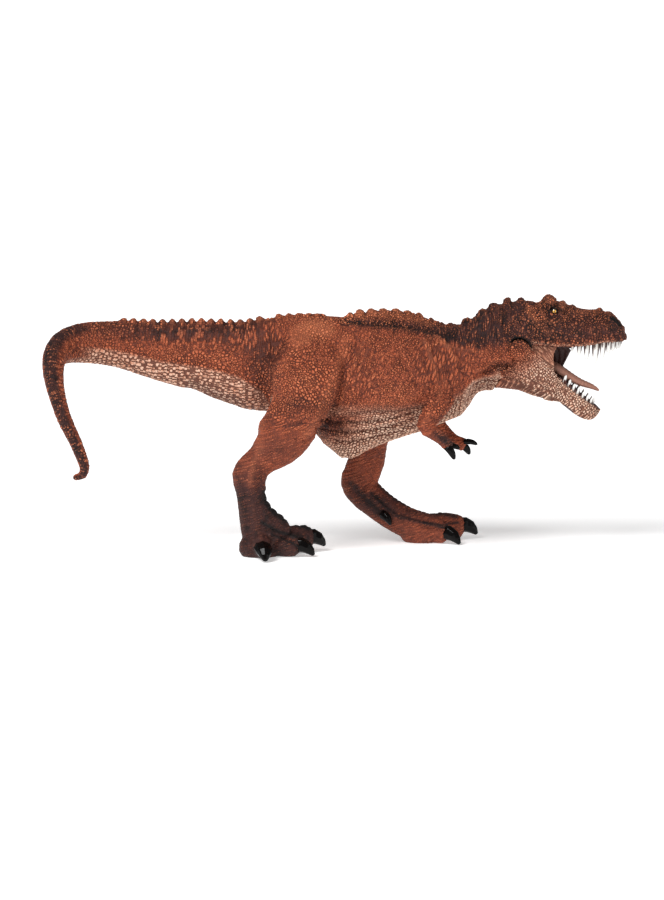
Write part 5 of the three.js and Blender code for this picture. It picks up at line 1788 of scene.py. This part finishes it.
class FIGURE_OT_stage(bpy.types.Operator):
    """Set up a pale floor, soft lamps and the camera"""

    bl_idname = "figure.stage"
    bl_label = "Stage"

    def execute(self, context):
        stage = context.scene.figure_stage
        bpy.ops.object.select_all(action="DESELECT")
        bpy.ops.mesh.primitive_plane_add(size=2 * stage.floor_half, location=(0, 0, 0))
        floor = bpy.context.active_object
        floor.name = "floor"
        material, nodes, shader = new_shader("pale_floor")
        place = nodes.node("ShaderNodeTexCoord", output="Object")
        cloud = nodes.noise(place, FLOOR_CLOUD)
        paint = nodes.mix(cloud, (0.9, 0.9, 0.9), (0.93, 0.93, 0.93))
        feed(nodes, shader, Base_Color=paint, Roughness=0.9)
        shader.inputs["Specular IOR Level"].default_value = 0.1
        shader.inputs["Emission Color"].default_value = (1, 1, 1, 1)
        shader.inputs["Emission Strength"].default_value = stage.floor_glow
        floor.data.materials.append(material)

        world = context.scene.world or bpy.data.worlds.new("studio")
        context.scene.world = world
        world.use_nodes = True
        background = world.node_tree.nodes["Background"]
        background.inputs["Color"].default_value = (1, 1, 1, 1)
        background.inputs["Strength"].default_value = stage.sky

        sun("key_sun", KEY_DIRECTION, stage.softness, stage.key)
        sun("fill_sun", FILL_DIRECTION, stage.softness, stage.fill)

        camera = link("camera", bpy.data.cameras.new("camera"))
        camera.data.lens = stage.lens
        camera.data.clip_start = CLIP_START
        back = Vector((0, -math.cos(TILT), math.sin(TILT)))
        aim = Vector((AIM_X, 0, stage.aim_height))
        camera.location = aim + back * stage.distance
        camera.rotation_euler = (-back).to_track_quat("-Z", "Y").to_euler()
        context.scene.camera = camera
        context.scene.view_settings.view_transform = "Standard"
        return {"FINISHED"}


class FIGURE_PT_panel(bpy.types.Panel):
    """Sizes, colours and steps of the figure."""

    bl_idname = "FIGURE_PT_panel"
    bl_label = "Toy dinosaur figure"
    bl_space_type = "VIEW_3D"
    bl_region_type = "UI"
    bl_category = "Figure"

    def draw(self, context):
        scene = context.scene
        for settings in (scene.figure_sizes, scene.figure_colours, scene.figure_stage):
            box = self.layout.box()
            for name in settings.__annotations__:
                box.prop(settings, name)
        for step in STEPS:
            self.layout.operator(step.bl_idname)


GROUPS = [FigureSizes, FigureColours, StageSizes]
STEPS = [
    FIGURE_OT_stage,
    FIGURE_OT_body_skin,
    FIGURE_OT_jaw_skin,
    FIGURE_OT_teeth,
    FIGURE_OT_tongue,
    FIGURE_OT_mouth_lining,
    FIGURE_OT_claws,
    FIGURE_OT_eyes,
    FIGURE_OT_pin,
]


def register():
    for group in [*GROUPS, *STEPS, FIGURE_PT_panel]:
        bpy.utils.register_class(group)
    bpy.types.Scene.figure_sizes = PointerProperty(type=FigureSizes)
    bpy.types.Scene.figure_colours = PointerProperty(type=FigureColours)
    bpy.types.Scene.figure_stage = PointerProperty(type=StageSizes)


def unregister():
    for name in ("figure_sizes", "figure_colours", "figure_stage"):
        delattr(bpy.types.Scene, name)
    for group in reversed([*GROUPS, *STEPS, FIGURE_PT_panel]):
        bpy.utils.unregister_class(group)


def main():
    register()
    for step in STEPS:
        family, name = step.bl_idname.split(".")
        getattr(getattr(bpy.ops, family), name)()


if __name__ == "__main__":
    main()
